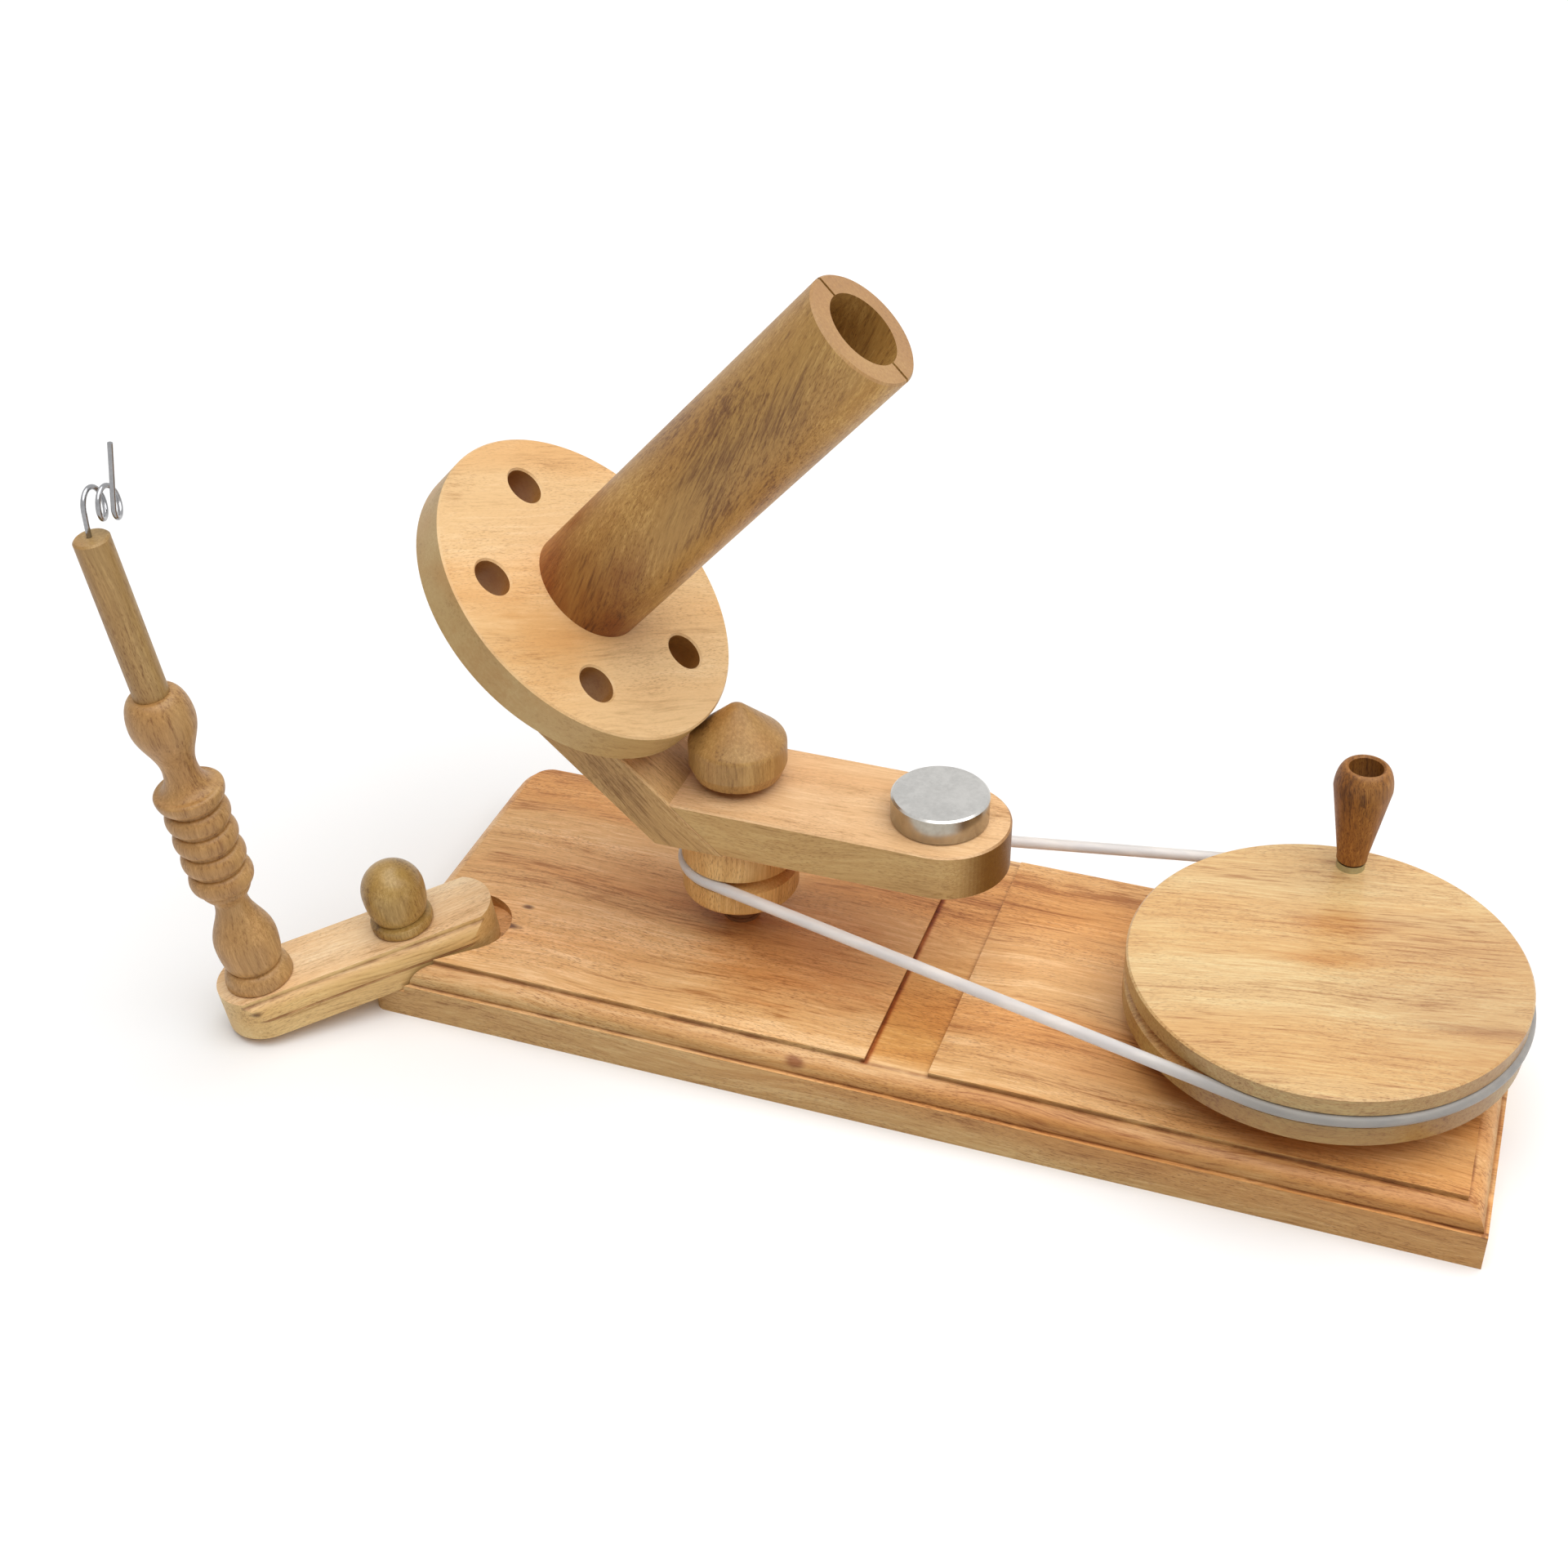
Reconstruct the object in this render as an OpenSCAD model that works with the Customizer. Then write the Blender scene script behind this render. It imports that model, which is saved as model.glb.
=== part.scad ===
// Wooden yarn ball winder. A hand-cranked wheel drives a small pulley through a
// round belt. The pulley carries a bent arm that turns about a fixed upright bolt.
// The arm holds a tilted spindle whose disc rolls on a fixed cone, so the spindle
// spins while it orbits. A clamped arm at one corner holds the yarn guide.
// Origin: centre of the board's underside. +X points to the crank end, +Z is up.

/* [Base board] */
// Length of the board
base_l = 460; // [430:1:520]
// Width of the board
base_w = 164; // [160:1:200]
// Thickness of the board
base_t = 26; // [24:0.5:34]
// Height of the step around the raised panel
panel_step = 2.3; // [1.5:0.1:4]
// Radius of the moulded quarter round
ovolo_r = 7.5; // [5:0.1:8]
// Width of the ledge below the quarter round
ledge_w = 1.8; // [1:0.1:3]
// Plan radius of the back corner at the guide end
corner_back_r = 18; // [17:0.5:30]
// Plan radius of the front corner at the guide end
corner_front_r = 5; // [2:0.5:8]
// Width of the clamp channel across the panel
channel_w = 26.4; // [20:0.2:40]

/* [Drive wheel] */
// Distance of the wheel's axis from the crank end
wheel_from_end = 76; // [70:1:90]
// Radius of the wheel
wheel_r = 78.6; // [70:0.2:84]
// Thickness of the wheel
wheel_t = 23.4; // [20:0.2:30]
// Gap between the board and the wheel
wheel_gap = 13.5; // [10:0.5:20]
// Depth of the belt groove's centre below the wheel's top
wheel_belt_drop = 10.9; // [9:0.1:12]
// Chamfer on the edges of the turned wood
edge_cut = 0.8; // [0.4:0.1:1.5]

/* [Crank grip] */
// Distance of the grip from the wheel's axis
crank_r = 66; // [50:0.5:66]
// Angle of the grip around the wheel
crank_turn = 90.5; // [0:0.5:180]
// Length of the turned grip
grip_l = 46.7; // [40:0.5:60]
// Radius of the grip at its foot
grip_foot_r = 6.3; // [6:0.1:9]
// Largest radius of the grip
grip_head_r = 12; // [10:0.1:15]
// Radius of the hole in the grip's top
grip_hole_r = 7; // [6.2:0.1:8]
// Depth of the hole in the grip's top
grip_hole_h = 17; // [12:0.5:24]
// Radius of the metal ferrule under the grip
ferrule_r = 5.9; // [5:0.1:7]
// Height of the metal ferrule
ferrule_h = 3.1; // [2:0.1:5]
// Radius of the screw that carries the grip
grip_screw_r = 3; // [2:0.1:3.5]
// Length of that screw in the wheel
grip_screw_in = 15; // [10:0.5:18]
// Height of that screw's head
grip_head_h = 4; // [3:0.1:6]

/* [Belt and pulley] */
// Diameter of the round belt
belt_d = 5; // [4:0.1:6]
// Depth of the belt's centre line below the wheel's rim
wheel_sink = 0.6; // [0.2:0.1:2]
// Depth of the belt's centre line below the pulley's rim
pulley_sink = 0.8; // [0.2:0.1:2]
// Slope of each groove wall
groove_deg = 20; // [15:1:30]
// Depth of the groove floor below the belt's centre line
groove_depth = 5; // [4:0.1:6]
// Radius of the pulley
pulley_r = 24.8; // [22:0.1:28]
// Height of the pulley
pulley_h = 32.8; // [30:0.2:40]
// Radius of the pulley's rounded lower edge
pulley_round = 2; // [1:0.1:3]
// Height of the belt groove above the pulley's underside
pulley_belt_up = 14.5; // [11:0.1:17]

/* [Winding arm] */
// Distance of the arm's axis from the guide end
arm_from_end = 138; // [135:1:150]
// Gap between the board and the pulley
arm_gap = 16.5; // [15:0.5:24]
// Thickness of the arm's two pieces
bar_t = 21; // [20:0.5:26]
// Width of the arm
bar_w = 54.7; // [48:0.1:60]
// Reach of the bar's rounded end from the axis
bar_reach = 116; // [105:0.5:125]
// Distance of the bend from the axis
bend_from_axis = 20.2; // [18:0.1:24]
// Angle of the riser above the bar
rise_deg = 42.3; // [40:0.1:44]
// Distance along the riser from the bend to the spindle
riser_to_spindle = 84.8; // [82:0.1:90]
// Radius of the counterweight
weight_r = 20; // [14:0.1:24]
// Height of the counterweight
weight_h = 11.8; // [8.5:0.1:20]
// Distance of the counterweight from the centre of the bar's round end
weight_in = 2; // [0:0.1:6]
// Radius of the glued dowels
dowel_r = 3; // [2:0.1:3.5]
// Length of the pulley's glued dowels
dowel_l = 24; // [18:0.5:26]
// Length of the bend's glued dowels
bend_dowel_l = 16; // [12:0.5:18]

/* [Spindle] */
// Gap between the riser and the disc
disc_gap = 15; // [13:0.5:18]
// Thickness of the disc
disc_t = 16.5; // [14:0.5:20]
// Radius of the disc
disc_r = 71; // [68:0.2:72]
// Number of holes in the disc
hole_count = 5; // [3:1:6]
// Diameter of the holes in the disc
hole_d = 16; // [10:0.5:20]
// Radius of the ring of holes
hole_ring_r = 48.8; // [40:0.2:54]
// Turn of the disc at rest
disc_turn = -2.6; // [-36:0.1:36]
// Outer radius of the tube
tube_r = 24.3; // [23:0.1:28]
// Wall of the tube
tube_wall = 8.6; // [6:0.1:10]
// Length of the tube above the disc
tube_l = 169.7; // [140:0.1:190]
// Radius of the tube's tenon in the disc
tenon_r = 20; // [19:0.1:22]
// Height of the tube's tenon
tenon_h = 6; // [4:0.5:8]
// Width of the saw slit across the tube's end
slit_w = 1.3; // [0.8:0.1:2.5]
// Depth of the saw slit
slit_h = 10; // [5:0.5:30]
// Turn of the saw slit at rest
slit_turn = 83.5; // [0:0.5:180]

/* [Friction cone] */
// Radius of the cone's rounded shoulder
cone_round = 4; // [3:0.1:5]
// Half angle of the cone
cone_deg = 48; // [43:0.5:50]
// Radius of the rounded tip
cone_tip_r = 6; // [3:0.1:8]
// Radius of the cone's foot
cone_foot_r = 18.5; // [15:0.1:19]
// Height of the taper at the cone's foot
cone_foot_h = 5; // [2:0.5:8]
// Distance of the rolling contact from the disc's back edge
cone_contact = 1; // [0.5:0.1:3]

/* [Yarn guide] */
// Distance of the clamp's axis from the guide end
guide_from_end = 9.7; // [9:0.1:14]
// Distance of the clamp's axis from the front edge
guide_from_front = 21.4; // [18:0.1:30]
// Angle between the guide arm and the board's length
guide_yaw = 42; // [35:0.5:48]
// Downward tilt of the guide arm
guide_tilt = 8; // [5:0.5:10]
// Depth of the pocket floor at the clamp's axis
pocket_depth = 11.15; // [9:0.05:12]
// Clearance of the pocket beside the arm
pocket_side = 1.5; // [1.4:0.1:4]
// Clearance of the pocket behind the arm
pocket_end = 6.5; // [5:0.1:9]
// Width of the guide arm
guide_w = 37; // [34:0.1:42]
// Thickness of the guide arm
guide_t = 19.25; // [17:0.05:22]
// Distance from the clamp's axis to the arm's inner end centre
guide_inner = 20; // [16:0.1:24]
// Distance from the clamp's axis to the post
guide_outer = 63; // [50:0.1:80]
// Width of the arm's top panel
guide_panel_w = 30; // [26:0.1:33]
// Step at the edge of the arm's top panel
guide_step = 2; // [1:0.1:3]
// Height of the arm's moulded edge
guide_bead_h = 10; // [8:0.1:12]
// Ledge below the arm's moulded edge
guide_ledge = 0.4; // [0.2:0.1:1]
// Radius of the post's lower vase
post_belly_r = 13.2; // [12:0.1:15]
// Radius of the post's rings and upper vase
post_r = 13.2; // [12:0.1:15]
// Radius of the collar above the rings
post_collar_r = 14.2; // [13:0.1:16]
// Radius of the post's foot ring
post_foot_r = 14.3; // [14:0.1:17]
// Height of the post's foot ring
post_foot_h = 8; // [6:0.1:10]
// Height of the coves beside the rings
post_cove_h = 8; // [6:0.1:10]
// Height of the post's lower vase
post_vase_h = 42.5; // [36:0.5:50]
// Number of rings in the post's middle
ring_count = 5; // [3:1:7]
// Height of one ring
ring_h = 10.6; // [8:0.1:13]
// Depth of the groove between rings
ring_groove = 2.6; // [1.5:0.1:4]
// Gap between the post's rings
ring_gap = 1.6; // [0.8:0.1:2.4]
// Height of the collar's round below its rim
collar_h = 6.6; // [5:0.1:8]
// Height of the post's upper vase
post_cup_h = 43; // [36:0.5:50]
// Radius of the thin necks of the post
post_neck_r = 7; // [6:0.1:8]
// Radius of the post's tenon in the arm
post_tenon_r = 8; // [6:0.1:10]
// Depth of the post's tenon
post_tenon_h = 12; // [8:0.5:14]
// Radius of the plain rod
rod_r = 7; // [6:0.1:8]
// Length of the plain rod that shows
rod_l = 70; // [40:0.5:90]
// Depth of the rod's socket in the post
rod_socket = 16; // [10:0.5:20]

/* [Guide knob] */
// Largest radius of the knob
knob_r = 13.4; // [12:0.1:16]
// Height of the knob
knob_h = 31.5; // [28:0.5:40]
// Height of the knob's widest place
knob_mid_h = 18.1; // [14:0.1:20]
// Height of the ring at the knob's foot
knob_foot_h = 4.5; // [3:0.1:6]
// Radius of the knob's neck
knob_neck_r = 10.2; // [8:0.1:11]
// Radius of the knob's threaded stud
stud_r = 4; // [3:0.1:5]
// Length of the stud inside the knob
stud_grip = 19; // [12:0.5:22]
// Wall of the threaded insert in the board
insert_wall = 2.5; // [1.5:0.1:3]
// Depth of the threaded insert in the board
insert_h = 10; // [6:0.5:11]

/* [Wire eye] */
// Diameter of the wire
wire_d = 2; // [1.6:0.1:2.6]
// Radius of the coil's centre line
coil_r = 5.9; // [5:0.1:8]
// Distance between the coil's turns
coil_pitch = 5.6; // [4.5:0.1:8]
// Number of turns in the coil
coil_turns = 2; // [1:1:4]
// Height of the coil's start above the rod
coil_up = 10.2; // [8:0.1:16]
// Turn of the coil's axis from the arm's line
coil_yaw = 26; // [0:1:40]
// Offset of the coil's start from the rod's axis
coil_off = 1; // [0:0.1:2]
// Length of the straight tail
tail_l = 27.5; // [10:0.5:32]
// Lean of the tail towards the coil's open end
tail_lean = 16; // [5:1:25]
// Depth of the wire in the rod
wire_sunk = 12; // [8:0.5:20]

/* [Hardware] */
// Radius of the steel axles
axle_r = 5; // [4:0.1:6]
// Wall of the bronze bushes
bush_wall = 2; // [1.5:0.1:2.5]
// Radius of the bush flanges, washers and nuts
flange_r = 10; // [9.5:0.1:11]
// Thickness of the bush flanges
flange_t = 2; // [1:0.1:2.5]
// Thickness of the plain washers
washer_t = 1.6; // [1:0.1:2]
// Thickness of the washer under the cone
thrust_t = 2.4; // [1.5:0.1:4]
// Height of the nuts
nut_h = 8; // [6:0.1:9]
// Width and depth of the round nut's slots
nut_slot = 2; // [1.5:0.1:3]
// Height of the thin nut under the wheel
thin_nut_h = 5; // [3.5:0.1:5.5]
// Length of the spindle's bolt past its nut
bolt_past = 2; // [1:0.1:4]
// Height of the bolt heads
head_h = 6.4; // [5:0.1:7]
// Depth of the counterbore below the arm's bolt
bolt_sink = 9; // [7.5:0.1:10]
// Depth of the counterbore below the wheel's axle
axle_sink = 11; // [10:0.1:11.5]
// Radius of the counterbores
sink_r = 13; // [12:0.1:15]
// Length of each bush in the board
board_bush_l = 6; // [4:0.1:6.4]
// Length of each bush in the arm
arm_bush_l = 14; // [10:0.5:18]
// Radius of the hub plate under the wheel
hub_r = 22; // [20:0.5:30]
// Thickness of the hub plate
hub_t = 3; // [2:0.1:4]
// Radius of the hub's screws
screw_r = 2; // [1.5:0.1:2.4]
// Length of the hub's screws in the wheel
hub_screw_l = 12; // [8:0.5:16]
// Radius of the counterweight's screw
weight_screw_r = 3; // [2.5:0.1:3.5]
// Length of the screw in the counterweight
weight_screw_in = 8; // [5:0.1:8]
// Height of the counterweight screw's countersunk head
weight_head_h = 3; // [2:0.1:4]
// Depth of the axle in the wheel
axle_in_wheel = 17; // [12:0.5:18]
// Length of the brass insert in the cone
cone_insert_l = 11; // [8:0.5:12]
// Depth of the bolt in the cone
bolt_in_cone = 17; // [14:0.5:18]

/* [Clearances] */
// Radial clearance of glued and pressed pieces
fit = 0.05; // [0.02:0.01:0.1]
// Radial clearance of turning pieces
run = 0.05; // [0.02:0.01:0.1]
// Gap between faces that slide past each other
slide = 0.3; // [0.2:0.05:0.5]
// Gap between the belt and its grooves
belt_gap = 0.3; // [0.3:0.05:0.6]
// Gap between the disc's rim and the cone
roll_gap = 0.3; // [0.2:0.05:0.5]

/* [Hidden] */
$fn = 96;

eps = 0.01;
over = 1;
hole_over = 0.2;

// Board and its stations
edge_w = ledge_w + ovolo_r;
side_h = base_t - panel_step - ovolo_r;
wheel_x = base_l / 2 - wheel_from_end;
arm_x = arm_from_end - base_l / 2;
bush_r = axle_r + run + bush_wall;

// Wheel and crank
wheel_z = base_t + wheel_gap;
wheel_top = wheel_z + wheel_t;
wheel_belt_z = wheel_top - wheel_belt_drop;
wheel_pitch = wheel_r - wheel_sink;
hub_boss_z = base_t + flange_t + slide;
hub_screw_ring = (hub_r + flange_r) / 2;
axle_end_z = axle_sink - flange_t - slide - washer_t - thin_nut_h - over;
grip_z = wheel_top + ferrule_h + slide;
grip_floor = grip_z + grip_l - grip_hole_h;

// Belt, pulley and arm
pulley_z = base_t + arm_gap;
pulley_belt_z = pulley_z + pulley_belt_up;
pulley_pitch = pulley_r - pulley_sink;
bar_z = pulley_z + pulley_h;
bar_top = bar_z + bar_t;
bar_end_x = bar_reach - bar_w / 2;
weight_x = arm_x + bar_end_x - weight_in;
mitre = bar_t * tan(rise_deg / 2);
lap = bar_t / tan(rise_deg);
lap_slope = bar_t / sin(rise_deg);
dowel_ring = bush_r + 2 * dowel_r;
bend_dowel_y = bar_w / 4;

// Spindle, in the riser's frame
tube_bore = tube_r - tube_wall;
disc_face = disc_gap + disc_t;
tenon_z = disc_face - tenon_h;
spindle_nut_z = tenon_z + slide + washer_t;

// Place where the disc's rim comes closest to the upright axis
rim_r = bend_from_axis + riser_to_spindle * cos(rise_deg) - disc_gap * sin(rise_deg)
    - disc_r * cos(rise_deg);
rim_z = bar_top + riser_to_spindle * sin(rise_deg) + disc_gap * cos(rise_deg)
    - disc_r * sin(rise_deg);

// Friction cone, worked out from the rim that rolls on it
cone_reach = cone_round + roll_gap;
cone_r0 = rim_r - cone_contact * sin(rise_deg) - cone_reach * cos(rise_deg);
cone_z0 = rim_z + cone_contact * cos(rise_deg) - cone_reach * sin(rise_deg);
cone_r = cone_r0 + cone_round;
cone_z = bar_top + flange_t + slide + thrust_t;
cone_edge = [cone_r0 + cone_round * cos(cone_deg), cone_z0 + cone_round * sin(cone_deg)];
cone_apex = cone_edge[1] + cone_edge[0] / tan(cone_deg);
cone_tip_z = cone_apex - cone_tip_r / sin(cone_deg);
cone_tip_edge = [cone_tip_r * cos(cone_deg), cone_tip_z + cone_tip_r * sin(cone_deg)];

// Speeds: arm turns per wheel turn, and spindle turns per wheel turn
arm_ratio = wheel_pitch / pulley_pitch;
roll_r = cone_r0 + cone_round * cos(rise_deg);
spindle_ratio = arm_ratio * roll_r / disc_r;
echo(arm_ratio = arm_ratio, spindle_ratio = spindle_ratio, cone_r = cone_r, tip = cone_tip_z + cone_tip_r);

// Guide arm's moulding and pocket
pocket_r = guide_w / 2 + pocket_side;
pocket_x = pocket_r - guide_inner - guide_w / 2 - pocket_end;
bead_edge = guide_w / 2 - guide_ledge;
bead_fall = guide_bead_h - guide_step;
bead_x = (bead_edge ^ 2 - (guide_panel_w / 2) ^ 2 - bead_fall ^ 2) / (2 * bead_edge - guide_panel_w);
bead_r = bead_edge - bead_x;
insert_r = stud_r + run + insert_wall;
guide_pivot = [guide_from_end - base_l / 2, guide_from_front - base_w / 2, base_t - pocket_depth];

// Post stations
rings_z = post_vase_h + post_cove_h;
cup_z = rings_z + ring_count * ring_h;
cup_top = cup_z + post_cup_h;
rod_top = cup_top + rod_l;

wood = "burlywood";
dark_wood = "saddlebrown";
steel = "silver";
bronze = "goldenrod";
clear = "gainsboro";

// A curve from one [radius, height] to another that starts and ends upright
function ogee(a, b, n = 8) = [for (i = [0:n]) let (t = i / n)
    [a[0] + (b[0] - a[0]) * (1 - cos(180 * t)) / 2, a[1] + (b[1] - a[1]) * t]];

// A half-round ring between two heights
function bead(r_in, r_out, h0, h1, n = 10) = [for (i = [0:n]) let (t = 180 * i / n)
    [r_in + (r_out - r_in) * sin(t), (h0 + h1) / 2 - (h1 - h0) / 2 * cos(t)]];

// A quarter ellipse that leaves sideways and ends upright
function belly(a, b, n = 8) = [for (i = [0:n]) let (t = 90 * i / n)
    [a[0] + (b[0] - a[0]) * sin(t), b[1] - (b[1] - a[1]) * cos(t)]];

// A quarter ellipse that leaves upright and ends level
function shoulder(a, b, n = 8) = [for (i = [0:n]) let (t = 90 * i / n)
    [b[0] + (a[0] - b[0]) * cos(t), a[1] + (b[1] - a[1]) * sin(t)]];

module guide_frame() {
    translate(guide_pivot)
        rotate([0, 0, 180 + guide_yaw])
            rotate([0, guide_tilt, 0])
                children();
}

module post_frame() {
    guide_frame()
        translate([guide_outer, 0, guide_t])
            children();
}

module riser_frame() {
    translate([arm_x - bend_from_axis, 0, bar_top])
        rotate([0, rise_deg, 0])
            rotate([0, 0, 180])
                children();
}

module spindle_frame() {
    riser_frame()
        translate([riser_to_spindle, 0, 0])
            children();
}

module grip_frame() {
    translate([wheel_x, 0, 0])
        rotate([0, 0, crank_turn])
            translate([crank_r, 0, 0])
                children();
}

module ring(r_out, r_in, h) {
    difference() {
        cylinder(r = r_out, h = h);
        translate([0, 0, -over])
            cylinder(r = r_in, h = h + 2 * over);
    }
}

module hex(r, h) {
    cylinder(r = r, h = h, $fn = 6);
}

module hex_nut(r_in, h) {
    difference() {
        hex(flange_r, h);
        translate([0, 0, -over])
            cylinder(r = r_in, h = h + 2 * over);
    }
}

// A bush with its flange below its body
module flanged_bush(l) {
    difference() {
        union() {
            translate([0, 0, -flange_t])
                cylinder(r = flange_r, h = flange_t);
            cylinder(r = bush_r, h = l);
        }
        translate([0, 0, -flange_t - over])
            cylinder(r = axle_r + run, h = l + flange_t + 2 * over);
    }
}

// A turned disc with small chamfers
module turned_disc(r, h, cut) {
    rotate_extrude()
        polygon([[0, 0], [r - cut, 0], [r, cut], [r, h - cut], [r - cut, h], [0, h]]);
}

// The section cut away by a belt groove
module groove_section(pitch) {
    half = (belt_d / 2 + belt_gap) / cos(groove_deg);
    floor_half = half - groove_depth * tan(groove_deg);
    rim_half = half + belt_d * tan(groove_deg);
    polygon([
        [pitch - groove_depth, -floor_half],
        [pitch + belt_d, -rim_half],
        [pitch + belt_d, rim_half],
        [pitch - groove_depth, floor_half]
    ]);
}

module belt_groove(pitch) {
    rotate_extrude()
        groove_section(pitch);
}

// Half section of the moulded board
module edge_section(half) {
    square([half, side_h]);
    square([half - edge_w, base_t]);
    translate([half - edge_w, side_h])
        circle(r = ovolo_r);
}

module board_section(w) {
    edge_section(w / 2);
    mirror([1, 0])
        edge_section(w / 2);
}

module moulded_board() {
    difference() {
        intersection() {
            rotate([90, 0, 90])
                linear_extrude(base_l, center = true)
                    board_section(base_w);
            rotate([90, 0, 0])
                linear_extrude(base_w, center = true)
                    board_section(base_l);
        }
        translate([-base_l / 2 - over, base_w / 2 - corner_back_r, -over])
            cube([corner_back_r + over, corner_back_r + over, base_t + 2 * over]);
        front_corner();
    }
    translate([corner_back_r - base_l / 2, base_w / 2 - corner_back_r, 0])
        rotate([0, 0, 90])
            rotate_extrude(angle = 90)
                edge_section(corner_back_r);
}

// The sliver outside the rounded front corner
module front_corner() {
    translate([corner_front_r - base_l / 2, corner_front_r - base_w / 2, -over])
        difference() {
            translate([-corner_front_r - over, -corner_front_r - over, 0])
                cube([corner_front_r + over, corner_front_r + over, base_t + 2 * over]);
            cylinder(r = corner_front_r, h = base_t + 2 * over);
        }
}

module guide_pocket() {
    guide_frame()
        translate([pocket_x, 0, -slide]) {
            cylinder(r = pocket_r, h = base_w);
            translate([0, -pocket_r, 0])
                cube([base_w, 2 * pocket_r, base_w]);
        }
}

module base_board() {
    color(wood)
        difference() {
            moulded_board();
            translate([-channel_w / 2, -base_w / 2 - over, base_t - panel_step])
                cube([channel_w, base_w + 2 * over, panel_step + over]);
            guide_pocket();
            guide_frame()
                translate([0, 0, -slide - insert_h])
                    cylinder(r = insert_r + fit, h = insert_h + over);
            translate([arm_x, 0, -over]) {
                cylinder(r = axle_r + fit, h = base_t + 2 * over);
                cylinder(r = sink_r, h = bolt_sink + over);
            }
            translate([wheel_x, 0, -over]) {
                cylinder(r = bush_r + fit, h = base_t + 2 * over);
                cylinder(r = sink_r, h = axle_sink + over);
            }
        }
}

module centre_bolt() {
    color(steel)
        translate([arm_x, 0, bolt_sink]) {
            translate([0, 0, -head_h])
                hex(flange_r, head_h);
            cylinder(r = axle_r, h = cone_z + bolt_in_cone - bolt_sink);
        }
}

module centre_washer() {
    color(steel)
        translate([arm_x, 0, base_t])
            ring(bush_r + edge_cut, axle_r + fit, washer_t);
}

module centre_nut() {
    color(steel)
        translate([arm_x, 0, base_t + washer_t])
            difference() {
                ring(bush_r, axle_r + fit, nut_h);
                for (turn = [0, 90])
                    rotate(turn)
                        translate([-bush_r - over, -nut_slot / 2, nut_h - nut_slot])
                            cube([2 * bush_r + 2 * over, nut_slot, nut_slot + over]);
            }
}

module centre_spacer() {
    spacer_z = base_t + washer_t + nut_h;
    color(steel)
        translate([arm_x, 0, spacer_z])
            ring(bush_r, axle_r + fit, pulley_z - flange_t - slide - spacer_z);
}

module cone_washer() {
    color(steel)
        translate([arm_x, 0, cone_z - thrust_t])
            ring(flange_r, axle_r + fit, thrust_t);
}

module cone_insert() {
    color(bronze)
        translate([arm_x, 0, cone_z])
            ring(bush_r, axle_r + fit, cone_insert_l);
}

module cone_section() {
    polygon([
        [0, cone_z],
        [cone_foot_r, cone_z],
        [cone_r, cone_z + cone_foot_h],
        [cone_r, cone_z0],
        cone_edge,
        cone_tip_edge,
        [0, cone_tip_edge[1]]
    ]);
    translate([cone_r0, cone_z0])
        circle(r = cone_round);
    intersection() {
        translate([0, cone_tip_z])
            circle(r = cone_tip_r);
        translate([0, cone_tip_z])
            square(2 * cone_tip_r);
    }
}

module friction_cone() {
    color(wood)
        translate([arm_x, 0, 0])
            difference() {
                rotate_extrude()
                    cone_section();
                translate([0, 0, cone_z - over]) {
                    cylinder(r = bush_r + fit, h = cone_insert_l + fit + over);
                    cylinder(r = axle_r + fit, h = bolt_in_cone + fit + over);
                }
            }
}

// Open belt between the wheel and the pulley, which sit at different heights.
// Each ring of points stands upright and faces out from the shaft it runs round.
belt_lean = asin((wheel_pitch - pulley_pitch) / (wheel_x - arm_x));
belt_steps = 36;
belt_sides = 12;

function belt_ring(x, z, pitch, turn) = [for (k = [0:belt_sides - 1])
    let (a = 360 * k / belt_sides, r = pitch + belt_d / 2 * cos(a))
    [x + r * cos(turn), r * sin(turn), z + belt_d / 2 * sin(a)]];

belt_rings = concat(
    [for (i = [0:belt_steps]) let (wrap = 180 + 2 * belt_lean)
        belt_ring(wheel_x, wheel_belt_z, wheel_pitch, wrap * (i / belt_steps - 0.5))],
    [for (i = [0:belt_steps]) let (wrap = 180 - 2 * belt_lean)
        belt_ring(arm_x, pulley_belt_z, pulley_pitch, 180 + wrap * (i / belt_steps - 0.5))]
);

module drive_belt() {
    color(clear)
        swept_tube(belt_rings, true);
}

// A tube through rings of points, closed on itself or capped at both ends
module swept_tube(rings, closed) {
    n = len(rings);
    s = len(rings[0]);
    last = closed ? n - 1 : n - 2;
    walls = [for (i = [0:last]) for (k = [0:s - 1])
        let (j = (i + 1) % n * s, h = i * s, m = (k + 1) % s)
        each [[h + k, j + k, j + m], [h + k, j + m, h + m]]];
    caps = closed ? [] : [for (k = [1:s - 2])
        each [[0, k, k + 1], [(n - 1) * s, (n - 1) * s + k + 1, (n - 1) * s + k]]];
    polyhedron(points = [for (r = rings) each r], faces = concat(walls, caps));
}

module wheel_bush_upper() {
    color(bronze)
        translate([wheel_x, 0, base_t])
            mirror([0, 0, 1])
                flanged_bush(board_bush_l);
}

module wheel_bush_lower() {
    color(bronze)
        translate([wheel_x, 0, axle_sink])
            flanged_bush(board_bush_l);
}

module guide_insert() {
    color(bronze)
        guide_frame()
            translate([0, 0, -slide - insert_h])
                ring(insert_r, stud_r + run, insert_h);
}

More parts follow.
